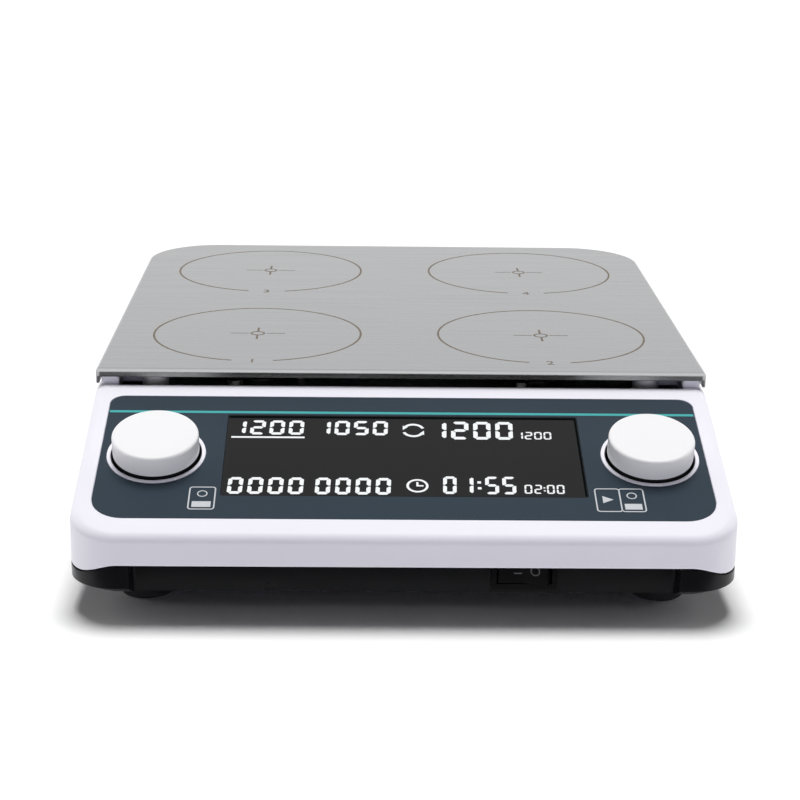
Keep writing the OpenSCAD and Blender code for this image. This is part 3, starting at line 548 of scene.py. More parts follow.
FINISHES = {
    "white_shell": moulding("white_shell", (0.915, 0.90, 0.97), 0.36, 0.10),
    "charcoal_shell": moulding("charcoal_shell", (0.006, 0.006, 0.0075), 0.30, 0.10,
                               drift=0.05, level=0.22),
    # The plate's bends carry a painted highlight along the fold.
    "brushed_plate": rub_folds(metal("brushed_plate", (0.345, 0.349, 0.357), 0.25, 0.26, ALONG_X), 2.4),
    "panel_print": ink("panel_print", (0.031, 0.046, 0.062), drift=0.05, level=0.1),
    "display_lens": moulding("display_lens", (0.018, 0.018, 0.0185), 0.25, 0.01,
                             grain=600, drift=0.01, level=0.06),
    "white_knob": moulding("white_knob", (0.94, 0.935, 0.94), 0.33, 0.06),
    "black_switch": moulding("black_switch", (0.005, 0.005, 0.0055), 0.30, 0.08, drift=0.05, level=0.12),
    "black_plastic": moulding("black_plastic", (0.009, 0.009, 0.0095), 0.50, 0.15, drift=0.05, level=0.3),
    "circuit_board": moulding("circuit_board", (0.02, 0.10, 0.045), 0.40, 0.06, grain=900, drift=0.10),
    "ribbon": moulding("ribbon", (0.42, 0.43, 0.45), 0.50, 0.10, grain=1200, drift=0.06),
    "fastener_steel": metal("fastener_steel", (0.60, 0.59, 0.57), 0.30, 0.10, ROUND_Z),
    "turned_steel": metal("turned_steel", (0.72, 0.71, 0.70), 0.40, 0.14, ROUND_Z, bare=0.3),
    "encoder_alloy": metal("encoder_alloy", (0.66, 0.66, 0.67), 0.34, 0.10),
    "deck_steel": metal("deck_steel", (0.55, 0.56, 0.57), 0.44, 0.12, ALONG_Y),
    "motor_steel": metal("motor_steel", (0.62, 0.62, 0.61), 0.36, 0.10, ROUND_Z),
    "magnet_nickel": metal("magnet_nickel", (0.66, 0.62, 0.55), 0.20, 0.06),
    "foot_rubber": moulding("foot_rubber", (0.020, 0.020, 0.020), 0.78, 0.40,
                            grain=1500, drift=0.08, level=0.3),
}
TEAL_PRINT = ink("teal_print", (0.07, 0.42, 0.42), rough=0.42)
WHITE_PRINT = ink("white_print", (0.62, 0.64, 0.66))
# Near-black ink for the painted shade along the display window's top and right edges.
WINDOW_SHADE_PRINT = ink("window_painted_shade", (0.003, 0.005, 0.005), rough=0.60, depth=0.02, level=0.0)
SWITCH_PRINT = ink("switch_print", (0.13, 0.13, 0.14), drift=0.05)
ETCHED_STEEL = make_finish("etched_steel", (0.16, 0.125, 0.085), (0.12, 700, EVEN),
                           (0.55, 0.08, 500, EVEN), (2400, EVEN, 0.30), {"Metallic": 0.6})
LIT_SEGMENT = make_finish("lit_segment", (0.80, 0.82, 0.82), (0.02, 300, EVEN), (0.45, 0.03, 200, EVEN),
                          (3000, EVEN, 0.02), {"Emission Color": (0.92, 0.97, 1.0, 1),
                                               "Emission Strength": 0.18, "Specular IOR Level": 0.1})


# The shells' plan and height

def soft_step(t):
    """Rises smoothly from 0 to 1."""
    held = min(max(t, 0), 1)
    return held * held * (3 - 2 * held)


def parting_z(x, y):
    """Height of the line where the shells meet: it rises over the front and falls at the sides."""
    rise = PART_FRONT_Z - PART_SIDE_Z
    corner_y = FRONT_Y + FRONT_CORNER
    across = CORNER_SHARE + (1 - CORNER_SHARE) * soft_step((WAVE_END - abs(x)) / (WAVE_END - WAVE_START))
    along = soft_step((WAVE_BACK_Y - y) / (WAVE_BACK_Y - corner_y))
    return PART_SIDE_Z + rise * across * along


def plan_path(half, y0, y1, front_r, rear_r, side_gap, end_gap=4):
    """Points and outward normals round a plan, anticlockwise from the middle of the front."""
    def straight(start, end, gap, normal):
        count = max(1, math.ceil((Vector(end) - Vector(start)).length / gap))
        return [(Vector(start).lerp(Vector(end), i / count), Vector(normal)) for i in range(count)]

    def corner(centre, radius, start, steps):
        angles = [math.radians(start + 90 * i / steps) for i in range(steps)]
        normals = [Vector((math.cos(a), math.sin(a))) for a in angles]
        return [(Vector(centre) + n * radius, n) for n in normals]

    path = straight((0, y0), (half - front_r, y0), end_gap, (0, -1))
    path += corner((half - front_r, y0 + front_r), front_r, -90, 20)
    path += straight((half, y0 + front_r), (half, y1 - rear_r), side_gap, (1, 0))
    path += corner((half - rear_r, y1 - rear_r), rear_r, 0, 24)
    path += straight((half - rear_r, y1), (0, y1), end_gap, (0, 1))
    path.append((Vector((0, y1)), Vector((0, 1))))
    mirrored = [(Vector((-p.x, p.y)), Vector((-n.x, n.y))) for p, n in path[-2:0:-1]]
    return path + mirrored


def crease_share(y):
    """1 on the sloping panel, 0 on the level rim, with a soft crease between."""
    return min(max((CREASE_Y + CREASE_SOFT - y) / (2 * CREASE_SOFT), 0), 1)


def shell_top(y):
    """Height and steepness of the shell's upper surface."""
    steep = math.tan(SLOPE)
    share = crease_share(y)
    if share < 1:
        return RIM_Z - steep * CREASE_SOFT * share * share, steep * share
    return RIM_Z + steep * (y - CREASE_Y), steep


SHELL_PATH = plan_path(HALF_W, FRONT_Y, BACK_Y, FRONT_CORNER, REAR_CORNER, 1.25)


def shell_edge(point, normal, inset, steps=12):
    """The rounded upper edge of the shell at one place on its plan, from the wall to the top."""
    middle = point - normal * EDGE_R
    height, steep = shell_top(middle.y)
    centre = Vector((middle.x, middle.y, height - EDGE_R * math.hypot(1, steep)))
    out = Vector((normal.x, normal.y, 0))
    up = Vector((0, -steep, 1)).normalized()
    return [centre + out.slerp(up, i / steps) * (EDGE_R - inset) for i in range(steps + 1)]


def shell_cap(bm, loop):
    """Closes the shell's top: the panel, the soft crease and the level rim."""
    share = [crease_share((point - normal * EDGE_R).y) for point, normal in SHELL_PATH]
    half = len(loop) // 2
    panel_end = max(i for i in range(half) if share[i] >= 1)
    rim_start = min(i for i in range(half) if share[i] <= 0)
    bm.faces.new([loop[i] for i in range(-panel_end, panel_end + 1)])
    for i in range(panel_end, rim_start):
        bm.faces.new((loop[i], loop[i + 1], loop[-i - 1], loop[-i]))
    bm.faces.new([loop[i] for i in range(rim_start, len(loop) - rim_start + 1)])


def wall_row(inset, height):
    """One row of points round the shells' plan; height is a number or follows the parting line."""
    row = []
    for point, normal in SHELL_PATH:
        spot = point - normal * inset
        level = height(point) if callable(height) else height
        row.append((spot.x, spot.y, level))
    return row


def columns_to_rows(columns):
    """Turns a list of columns, one per place on the plan, into rows."""
    return [list(row) for row in zip(*columns)]


PANEL = Matrix.Translation((0, CREASE_Y, RIM_Z)) @ Matrix.Rotation(SLOPE, 4, "X")
PANEL_INVERSE = PANEL.inverted()
KNOB_DOWN = (PANEL_INVERSE @ joint_mm("left_knob_turn")).y
LENS_TOP = (PANEL_INVERSE @ Vector((0, LENS_HIGH.y, LENS_HIGH.z))).y
LENS_FOOT = (PANEL_INVERSE @ Vector((0, LENS_LOW.y, LENS_LOW.z))).y


def knob_place(side):
    """The panel's frame at a knob's axis; side is -1 for the left and 1 for the right."""
    return PANEL @ Matrix.Translation((joint_mm("right_knob_turn").x * side, KNOB_DOWN, 0))


# White shell

def lip_row(angle):
    """One row round the shell's rounded lower lip: its foot is at 0 and its wall at 90 degrees."""
    turn = math.radians(angle)
    inset = LIP_R * (1 - math.sin(turn))
    rise = LIP_R * (1 - math.cos(turn))
    return wall_row(inset, lambda p: parting_z(p.x, p.y) + rise)


def shell_blank():
    """The shell before it is cut open: its inside, its lower lip and its outside."""
    inside = columns_to_rows([shell_edge(p, n, WALL) for p, n in SHELL_PATH])
    outside = columns_to_rows([shell_edge(p, n, 0) for p, n in SHELL_PATH])
    rows = inside[::-1]
    rows.append(wall_row(WALL, lambda p: parting_z(p.x, p.y)))
    rows += [lip_row(angle) for angle in (0, 30, 60, 90)]
    rows += outside
    return loft("white_shell", rows, shell_cap, shell_cap)


def pocket_outline():
    """The edge of the panel's pocket, with wider corners at its foot."""
    right = arc((POCKET_HALF - POCKET_FOOT_R, -POCKET_FOOT + POCKET_FOOT_R), POCKET_FOOT_R, -90, 0, 10)
    right += arc((POCKET_HALF - POCKET_TOP_R, -POCKET_TOP - POCKET_TOP_R), POCKET_TOP_R, 0, 90, 8)
    return right + [(-x, y) for x, y in reversed(right)]


def build_shell():
    """The white shell, open under the plate and at the panel, the knobs, the display and the inlet."""
    shell = shell_blank()
    rim = rounded_box(-RIM_HALF, RIM_FRONT, RIM_HALF, RIM_BACK, RIM_R)
    socket = (INLET_LOW + INLET_HIGH) / 2
    inlet = Matrix.Translation((socket.x, BACK_Y, socket.z)) @ Matrix.Rotation(math.pi / 2, 4, "X")
    inlet_r = (INLET_HIGH.x - INLET_LOW.x) / 2 + INLET_PLAY
    carve(shell, prism("rim_opening", rim, RIM_Z - RIM_CUT, RIM_Z + RIM_CUT),
          prism("pocket", pocket_outline(), -POCKET_DEPTH, POCKET_CUT, PANEL),
          plug("inlet_hole", inlet_r, INLET_CUT, inlet, 64))
    gap = rounded_box(-GAP_HALF, GAP_FRONT, GAP_HALF, GAP_BACK, GAP_R, 4)
    half = LENS_HIGH.x + WINDOW_PLAY
    window = rounded_box(-half, LENS_FOOT - WINDOW_PLAY, half, LENS_TOP + WINDOW_PLAY, WINDOW_R, 4)
    carve(shell, prism("front_gap", gap, RIM_Z - GAP_CUT, RIM_Z + GAP_CUT),
          prism("window", window, *WINDOW_CUT, PANEL),
          *[plug("knob_hole", WELL_HOLE_R, KNOB_HOLE_CUT, knob_place(side)) for side in (-1, 1)])
    return settle(smooth(shell), FINISHES["white_shell"], "base", "white_shell", "upper_housing")


def build_rim_end(side):
    """The raised end of the rim under one front corner of the plate."""
    low, high = sorted((side * GAP_HALF, side * RIM_END_OUT))
    edge = rounded_box(low, RIM_END_FRONT, high, GAP_BACK, RIM_END_R, 6)
    end = prism(f"rim_end_{'left' if side < 0 else 'right'}", edge, RIM_Z - RIM_END_ROOT, RIM_END_TOP)
    settle(smooth(end), FINISHES["white_shell"], "base", "white_shell")


build_shell()
build_rim_end(-1)
build_rim_end(1)


# Charcoal tray with its finger recess

def tray_ledge(point):
    """Height of the tray's ledge, a hair under the white shell."""
    return parting_z(point.x, point.y) - PARTING_GAP


def tray_blank():
    """The tray before its recess: a chamfered foot, a ledge, a tongue inside it, and the hollow."""
    deep, tall = TRAY_CHAMFER_IN, TRAY_CHAMFER_H
    steep = tall / deep
    foot, top = CHAMFER_FOOT_SOFT, CHAMFER_TOP_SOFT
    slope = curve((deep + CHAMFER_FOOT_FLAT, 0), (deep, 0), (deep - foot, foot * steep), 4)
    slope += curve((top, tall - top * steep), (0, tall), (0, tall + CHAMFER_TOP_RISE), 4)
    rows = [wall_row(inset, TRAY_LOW.z + rise) for inset, rise in slope]
    rows += [wall_row(0, tray_ledge), wall_row(TONGUE_IN, tray_ledge),
             wall_row(TONGUE_IN, PART_FRONT_Z + TONGUE_RISE)]
    tray = loft("charcoal_tray", rows)
    inner = TONGUE_IN + TONGUE_T
    floor = TRAY_LOW.z + TRAY_FLOOR
    cavity = [wall_row(inner + deep / 2, floor), wall_row(inner, floor + tall / 2),
              wall_row(inner, TRAY_HIGH.z + CAVITY_CUT)]
    return carve(tray, loft("cavity", cavity))


def build_tray():
    """The charcoal tray, with the recess for the fingers and the hole for the switch."""
    tray = tray_blank()
    half = RECESS_HALF + RECESS_WALL
    block = rounded_box(-half, FRONT_Y + RECESS_BLOCK_IN, half, RECESS_Y + RECESS_WALL, RECESS_BLOCK_R, 4)
    carve(tray, prism("block", block, TRAY_LOW.z + RECESS_BLOCK_FOOT, RECESS_ROOF + RECESS_ROOF_T),
          operation="UNION")
    hollow = rounded_box(-RECESS_HALF, FRONT_Y - RECESS_CUT_OUT, RECESS_HALF, RECESS_Y, RECESS_R, 6)
    carve(tray, prism("hollow", hollow, TRAY_LOW.z - RECESS_CUT_DOWN, RECESS_ROOF))
    switch = (BEZEL_LOW + BEZEL_HIGH) / 2
    front, back = (RECESS_Y + reach for reach in SWITCH_HOLE_CUT)
    gate = rounded_box(switch.x - SWITCH_HOLE_HALF, front, switch.x + SWITCH_HOLE_HALF, back,
                       SWITCH_HOLE_R, 2)
    carve(tray, prism("gate", gate, switch.z - SWITCH_HOLE_HALF_H, switch.z + SWITCH_HOLE_HALF_H))
    return settle(smooth(tray), FINISHES["charcoal_shell"], "base", "charcoal_shell", "base_housing")


build_tray()


# Brushed plate: a folded sheet with studs below it

def plate_studs():
    """The four studs under the plate, one over each spacer."""
    spacer_low, spacer_high = box_mm("plate_spacers")
    root = PLATE_FACE - PLATE_T / 2
    stud = [(0, SHEET_LOW.z), (STUD_R - STUD_TIP, SHEET_LOW.z), (STUD_R, SHEET_LOW.z + STUD_TIP),
            (STUD_R, root), (0, root)]
    spots = [(x, y) for x in (spacer_low.x + STUD_INSET, spacer_high.x - STUD_INSET)
             for y in (spacer_low.y + STUD_INSET, spacer_high.y - STUD_INSET)]
    return [revolve("stud", stud, Matrix.Translation((x, y, 0)), 32) for x, y in spots]


def build_plate():
    """The plate: a sheet folded down all round, less deep in front than at the sides and back."""
    path = plan_path(HALF_W, SHEET_LOW.y, BACK_Y, PLATE_FRONT_CORNER, PLATE_REAR_CORNER, 8, 8)

    def row(inset, drop):
        points = []
        for point, normal in path:
            spot = point - normal * inset
            fall = drop(normal) if callable(drop) else drop
            points.append((spot.x, spot.y, PLATE_FACE - fall))
        return points

    def fold_depth(normal):
        return PLATE_LIP if normal.y < PLATE_LIP_FACING else PLATE_FLANGE

    def eased_depth(normal):
        return fold_depth(normal) - PLATE_EDGE

    def bend(radius, angle):
        turn = math.radians(angle)
        return row(PLATE_BEND - radius * math.sin(turn), PLATE_BEND - radius * math.cos(turn))

    outer = [bend(PLATE_BEND, angle) for angle in range(0, 91, 10)]
    edge = [row(0, eased_depth), row(PLATE_EDGE, fold_depth), row(PLATE_T - PLATE_EDGE, fold_depth),
            row(PLATE_T, eased_depth)]
    inner = [bend(PLATE_BEND - PLATE_T, angle) for angle in range(90, -1, -15)]
    sheet = loft("brushed_plate", outer + edge + inner)
    carve(sheet, *plate_studs(), operation="UNION")
    return settle(smooth(sheet), FINISHES["brushed_plate"], "base", "brushed_plate", "top_plate")


build_plate()


# Knobs

def build_well(side, name):
    """The white collar round a knob, and below it a black cup that paints the shade in the well."""
    top = COLLAR_RISE
    root = -POCKET_DEPTH - COLLAR_ROOT
    outer = WELL_HOLE_R - WELL_PLAY
    collar = [(WELL_R, root), (outer, root), (outer, -POCKET_DEPTH), (COLLAR_R, -POCKET_DEPTH)]
    collar += curve((COLLAR_R, top - COLLAR_SOFT), (COLLAR_R, top), (COLLAR_R - COLLAR_SOFT, top), 4)
    collar += curve((WELL_R + COLLAR_SOFT, top), (WELL_R, top), (WELL_R, top - COLLAR_SOFT), 4)
    piece = smooth(ring_solid(f"{name}_collar", collar, knob_place(side), ROUND_STEPS))
    settle(piece, FINISHES["white_shell"], "base", "white_shell")
    # The cup is black as painted shade: it darkens the gap round the knob where the well lies in shade.
    inner = WELL_R - SHADE_CUP_T
    foot = -WELL_DEPTH - WELL_FLOOR
    cup = [(BUSH_HOLE_R, foot), (outer, foot), (outer, root), (WELL_R, root), (WELL_R, -SHADE_CUP_DROP),
           (inner, -SHADE_CUP_DROP), (inner, -WELL_DEPTH), (BUSH_HOLE_R, -WELL_DEPTH)]
    piece = smooth(ring_solid(f"{name}_painted_shade_well", cup, knob_place(side), ROUND_STEPS))
    settle(piece, FINISHES["black_plastic"], "base", "black_plastic")


def build_knob(side, name):
    """A white cap on a narrower skirt that runs in the panel's well; the skirt is black as painted shade under the
    cap's edge.
    """
    top = KNOB_TOP
    inner_r = KNOB_R - KNOB_WALL
    roof = top - KNOB_CROWN
    seam = KNOB_SKIRT_TOP
    cap = [(0, KNOB_SHAFT_TOP), (KNOB_SHAFT_R, KNOB_SHAFT_TOP), (KNOB_SHAFT_R, KNOB_BOSS_FOOT),
           (KNOB_BOSS_R, KNOB_BOSS_FOOT), (KNOB_BOSS_R, roof), (inner_r, roof), (inner_r, seam)]
    cap += curve((KNOB_R - KNOB_SEAM_SOFT, seam), (KNOB_R, seam), (KNOB_R, seam + KNOB_SEAM_SOFT), 4)
    cap += arc((KNOB_R - KNOB_EDGE, top - KNOB_EDGE), KNOB_EDGE, 0, 90, 8)
    cap.append((0, top))
    piece = smooth(revolve(f"{name}_cap", cap, knob_place(side), ROUND_STEPS))
    settle(piece, FINISHES["white_knob"], name, "white_knob", name)
    # The skirt is black as painted shade: it stands in for the shaded gap below the white cap.
    painted_shade_skirt = [(inner_r, seam), (inner_r, KNOB_FOOT), (KNOB_SKIRT_R - KNOB_SKIRT_CHAMFER, KNOB_FOOT),
             (KNOB_SKIRT_R, KNOB_FOOT + KNOB_SKIRT_CHAMFER), (KNOB_SKIRT_R, seam)]
    piece = smooth(ring_solid(f"{name}_skirt", painted_shade_skirt, knob_place(side), ROUND_STEPS))
    settle(piece, FINISHES["black_plastic"], name, "black_plastic", name)
    build_well(side, name)


build_knob(-1, "left_knob")
build_knob(1, "right_knob")


# Display lens, with the (inset, level) steps of its eased edge

LENS_EDGE = ((0, -1.5), (0, -0.25), (0.05, -0.15), (0.15, PRINT_FACE))


def build_lens():
    """The window over the display, with eased edges."""
    half = LENS_HIGH.x
    rows = []
    for inset, level in LENS_EDGE:
        edge = rounded_box(-half + inset, LENS_FOOT + inset, half - inset, LENS_TOP - inset, LENS_R, 4)
        rows.append([PANEL @ Vector((x, y, level)) for x, y in edge])
    lens = smooth(loft("display_lens", rows))
    return settle(lens, FINISHES["display_lens"], "base", "display_lens", "display_window")


build_lens()


# Print: flat shapes drawn in millimetres and given a hair's thickness

def printed(name, shapes, place, finish, body, slot):
    """Thin marks on a surface; place carries their plane's axes into the frame."""
    bm = bmesh.new()
    for shape in shapes:
        bm.faces.new([bm.verts.new((x, y, 0)) for x, y in shape])
    bmesh.ops.remove_doubles(bm, verts=bm.verts, dist=0.0005)
    made = bmesh.ops.extrude_face_region(bm, geom=bm.faces[:], use_keep_orig=True)
    raised = [item for item in made["geom"] if isinstance(item, bmesh.types.BMVert)]
    bmesh.ops.translate(bm, verts=raised, vec=(0, 0, PRINT_T))
    bmesh.ops.transform(bm, matrix=place, verts=bm.verts)
    return settle(as_object(name, bm), finish, body, slot)


def bar(x0, y0, x1, y1):
    """A filled rectangle."""
    return [(x0, y0), (x1, y0), (x1, y1), (x0, y1)]


def band(outer, inner):
    """Quads between two outlines of equally many points, closed round."""
    count = len(outer)
    return [[outer[i], outer[(i + 1) % count], inner[(i + 1) % count], inner[i]] for i in range(count)]


def arc_band(centre, radius, width, start, end, steps):
    """Quads along an arc of some width."""
    outer = arc(centre, radius + width / 2, start, end, steps)
    inner = arc(centre, radius - width / 2, start, end, steps)
    return [[outer[i], outer[i + 1], inner[i + 1], inner[i]] for i in range(steps)]


def frame_band(x0, y0, x1, y1, radius, width):
    """A rounded frame."""
    outer = rounded_box(x0, y0, x1, y1, radius, 6)
    inner = rounded_box(x0 + width, y0 + width, x1 - width, y1 - width, max(radius - width, 0.1), 6)
    return band(outer, inner)


LIT = {"0": "abcdef", "1": "bc", "2": "abged", "5": "afgcd"}
SEGMENT_GAP = 0.06
SEGMENT_CUT = 0.85
SEGMENT_WAIST = 0.2
DIGIT_LEAN = math.tan(math.radians(2))


def segment_digit(digit, x, y, w, h, t):
    """A digit of mitred segments with cut corners: its lower left corner, width, height and stroke."""
    gap = SEGMENT_GAP * t
    cut = SEGMENT_CUT * t
    waist = SEGMENT_WAIST * t
    middle = h / 2

    def level(edge, way):
        ends = [(cut / 2 + gap, cut / 2), (cut, 0), (w - cut, 0), (w - cut / 2 - gap, cut / 2)]
        return [(a, edge + way * b) for a, b in ends + [(w - t - gap, t), (t + gap, t)]]

    def upright(edge, inward, end, way):
        near = middle - way * waist
        points = [(0, end + way * cut), (cut / 2, end + way * (cut / 2 + gap)), (t, end + way * (t + gap))]
        points += [(t, near - way * t / 2), (t / 2, near), (0, near)]
        return [(edge + inward * a, b) for a, b in points]

    bridge = [(t / 2 + gap, middle), (t + gap, middle - t / 2), (w - t - gap, middle - t / 2),
              (w - t / 2 - gap, middle), (w - t - gap, middle + t / 2), (t + gap, middle + t / 2)]
    shapes = {"a": level(h, -1), "b": upright(w, -1, h, -1), "c": upright(w, -1, 0, 1), "d": level(0, 1),
              "e": upright(0, 1, 0, 1), "f": upright(0, 1, h, -1), "g": bridge}
    return [[(x + a + DIGIT_LEAN * b, y + b) for a, b in shapes[key]] for key in LIT[digit]]


def readout(text, right, row, digits):
    """Digits of some (width, pitch, stroke) that end at the right, in a row (top, foot) down the panel."""
    top, foot = row
    w, pitch, t = digits
    shapes = []
    for i, digit in enumerate(reversed(text)):
        shapes += segment_digit(digit, right - w - i * pitch, -foot, w, foot - top, t)
    return shapes


def colon(x, row, size):
    """Two square dots in a row of digits."""
    top, foot = row
    third = (foot - top) / 3
    return [bar(x - size / 2, -level - size / 2, x + size / 2, -level + size / 2)
            for level in (top + third, foot - third)]


TURNING_STROKE = 1.0
TURNING_HEAD = 1.5
CLOCK_STROKE = 0.8
CLOCK_HAND_HALF = 0.35
CLOCK_HAND_SHARE = 0.62


def arrow_head(tip_x, tip_y, angle, size):
    """A triangle that points along an angle."""
    points = []
    for turn, reach in ((0, size), (130, size * 0.8), (-130, size * 0.8)):
        a = math.radians(angle + turn)
        points.append((tip_x + reach * math.cos(a), tip_y + reach * math.sin(a)))
    return points


def turning_icon(x, down, radius):
    """Two curved arrows that chase each other."""
    shapes = []
    for start in (20, 200):
        shapes += arc_band((x, -down), radius, TURNING_STROKE, start, start + 125, 16)
        end = math.radians(start + 132)
        tip_x = x + radius * math.cos(end)
        tip_y = -down + radius * math.sin(end)
        shapes.append(arrow_head(tip_x, tip_y, start + 228, TURNING_HEAD))
    return shapes


def clock_icon(x, down, radius):
    """A ring with two hands."""
    half = CLOCK_HAND_HALF
    reach = radius * CLOCK_HAND_SHARE
    shapes = arc_band((x, -down), radius, CLOCK_STROKE, 0, 360, 40)
    shapes.append(bar(x - half, -down - half, x + half, -down + reach))
    shapes.append(bar(x + half, -down - half, x + reach, -down + half))
    return shapes


# Rows of the display, as (top, foot) down the panel, and digits, as (width, pitch, stroke)

SPEED_ROW = (20.7, 29.0)
MAIN_SPEED_ROW = (20.7, 31.1)
SMALL_SPEED_ROW = (26.5, 30.8)
TIME_ROW = (53.2, 62.2)
MAIN_TIME_ROW = (52.1, 61.6)
SMALL_TIME_ROW = (56.4, 61.2)
TIME_DIGITS = (4.9, 6.55, 1.35)
SMALL_TIME_DIGITS = (2.5, 3.2, 0.6)


def display_shapes():
    """The speeds with a line under the chosen one, the times, and an icon for each row."""
    shapes = readout("1200", -33.7, SPEED_ROW, (5.05, 6.5, 1.3))
    shapes.append(bar(-57.8, -31.0, -33.2, -30.1))
    shapes += readout("1050", -5.3, SPEED_ROW, (5.05, 6.45, 1.3))
    shapes += turning_icon(x=3.5, down=26.0, radius=3.4)
    shapes += readout("1200", 37.0, MAIN_SPEED_ROW, (5.9, 7.5, 1.5))
    shapes += readout("1200", 50.0, SMALL_SPEED_ROW, (2.6, 3.2, 0.6))
    shapes += readout("0000", -33.0, TIME_ROW, TIME_DIGITS)
    shapes += readout("0000", -4.6, TIME_ROW, TIME_DIGITS)
    shapes += clock_icon(x=4.2, down=57.3, radius=3.2)
    shapes += readout("0", 16.8, MAIN_TIME_ROW, (4.4, 5.6, 1.25))
    shapes += readout("1", 22.3, MAIN_TIME_ROW, (4.8, 5.6, 1.25))
    shapes += colon(24.4, MAIN_TIME_ROW, size=1.2)
    shapes += readout("55", 36.2, MAIN_TIME_ROW, (4.5, 5.6, 1.25))
    shapes += readout("02", 44.6, SMALL_TIME_ROW, SMALL_TIME_DIGITS)
    shapes += colon(45.5, SMALL_TIME_ROW, size=0.6)
    shapes += readout("00", 51.9, SMALL_TIME_ROW, SMALL_TIME_DIGITS)
    return shapes


ICON_FOOT = -70.6
ICON_R = 1.2
ICON_STROKE = 0.45
ICON_MARGIN = 1.3
ICON_BLOCK_TOP = -66.3
ICON_RING_R = 1.5
ICON_RING_STROKE = 0.4
RIGHT_ICON_TOP = -58.1


def icon_frame(left, right, top):
    """The rounded frame of an icon on the panel."""
    return frame_band(left, ICON_FOOT, right, top, ICON_R, ICON_STROKE)


def push_icon(left, right, top, ring_y):
    """A framed ring over a filled block."""
    shapes = icon_frame(left, right, top)
    shapes += arc_band(((left + right) / 2, ring_y), ICON_RING_R, ICON_RING_STROKE, 0, 360, 28)
    shapes.append(bar(left + ICON_MARGIN, ICON_FOOT + ICON_MARGIN, right - ICON_MARGIN, ICON_BLOCK_TOP))
    return shapes


def panel_shapes():
    """Generic framed icons beside the knobs: one at the left, and a joined pair at the right."""
    shapes = push_icon(left=-69.6, right=-60.9, top=-58.5, ring_y=-62.2)
    shapes += icon_frame(left=61.5, right=69.85, top=RIGHT_ICON_TOP)
    shapes += push_icon(left=69.4, right=77.6, top=RIGHT_ICON_TOP, ring_y=-62.0)
    shapes.append([(63.9, -66.0), (67.4, -64.1), (63.9, -62.2)])
    return shapes


# Painted shade: dark strips along the display window's top and right edges stand in for the shadow cast into the
# window.
WINDOW_SHADE_TOP = -18.05
WINDOW_SHADE_SHAPES = [bar(-59.2, -19.3, 58.5, WINDOW_SHADE_TOP), bar(58.5, -62.6, 59.2, WINDOW_SHADE_TOP)]
TEAL_HALF = POCKET_HALF - 0.6
TEAL_LINE = bar(-TEAL_HALF, -16.5, TEAL_HALF, -15.2)
PRINT_PLANE = PANEL @ Matrix.Translation((0, 0, PRINT_FACE))
printed("display_segments", display_shapes(), PRINT_PLANE, LIT_SEGMENT, "base", "display_lens")
printed("display_painted_shade", WINDOW_SHADE_SHAPES, PRINT_PLANE, WINDOW_SHADE_PRINT, "base", "display_lens")
printed("panel_icons", panel_shapes(), PRINT_PLANE, WHITE_PRINT, "base", "panel_print")
printed("teal_line", [TEAL_LINE], PRINT_PLANE, TEAL_PRINT, "base", "panel_print")


def position_shapes(spot):
    """A broken ring with a centre mark, drawn about a stirring position."""
    here = (spot.x, spot.y)
    gap = math.degrees(math.asin(RING_GAP_HALF / RING_R))
    shapes = arc_band(here, RING_R, RING_STROKE, -90 + gap, 270 - gap, 180)
    shapes += arc_band(here, CENTRE_R, CENTRE_STROKE, 0, 360, 40)
    for side in (-1, 1):
        near, far = (spot.x + side * reach for reach in TICK_ACROSS)
        shapes.append(bar(near, spot.y - TICK_ACROSS_HALF, far, spot.y + TICK_ACROSS_HALF))
        near, far = (spot.y + side * reach for reach in TICK_ALONG)
        shapes.append(bar(spot.x - TICK_ALONG_HALF, near, spot.x + TICK_ALONG_HALF, far))
    return shapes


def build_numeral(number, spot):
    """A position's number, set in the gap of its ring."""
    lettering = bpy.data.curves.new("numeral", "FONT")
    lettering.body = str(number)
    lettering.size = NUMERAL_SIZE
    lettering.align_x = "CENTER"
    lettering.align_y = "CENTER"
    lettering.extrude = PRINT_T / 2
    source = bpy.data.objects.new("numeral", lettering)
    bpy.context.scene.collection.objects.link(source)
    bpy.context.view_layer.update()
    mesh = bpy.data.meshes.new_from_object(source.evaluated_get(bpy.context.evaluated_depsgraph_get()))
    bpy.data.objects.remove(source)
    place = Matrix.Translation((spot.x, spot.y - RING_R, PLATE_FACE + PRINT_T / 2))
    mesh.transform(Matrix.Scale(MM, 4) @ place)
    piece = bpy.data.objects.new(f"position_number_{number}", mesh)
    bpy.context.scene.collection.objects.link(piece)
    return settle(piece, ETCHED_STEEL, "base", "brushed_plate")


for number, spot in enumerate(STIR_SPOTS, 1):
    printed(f"position_ring_{number}", position_shapes(spot), Matrix.Translation((0, 0, PLATE_FACE)),
            ETCHED_STEEL, "base", "brushed_plate")
    build_numeral(number, spot)


# On and off marks on the rocker's two faces

ROCKER_TILT = math.radians(10)
ROCKER_VALLEY = 2.2
ROCKER_PIVOT = joint_mm("power_switch")
ON_MARK = bar(-3.0, -2.2, -0.4, -1.8)
OFF_MARK = arc_band((3.9, -0.8), 1.4, 0.36, 0, 360, 32)


def rocker_place(side):
    """Axes on one face of the rocker at rest: along the face from the valley, up, and out of it."""
    along = Vector((math.cos(ROCKER_TILT) * side, -math.sin(ROCKER_TILT), 0))
    out = Vector((-math.sin(ROCKER_TILT) * side, -math.cos(ROCKER_TILT), 0))
    axes = Matrix((along * side, (0, 0, 1), out)).transposed().to_4x4()
    valley = Matrix.Translation((0, -ROCKER_VALLEY, 0))
    rest = Matrix.Translation(ROCKER_PIVOT) @ Matrix.Rotation(-ROCKER_TILT, 4, "Z")
    return rest @ valley @ axes


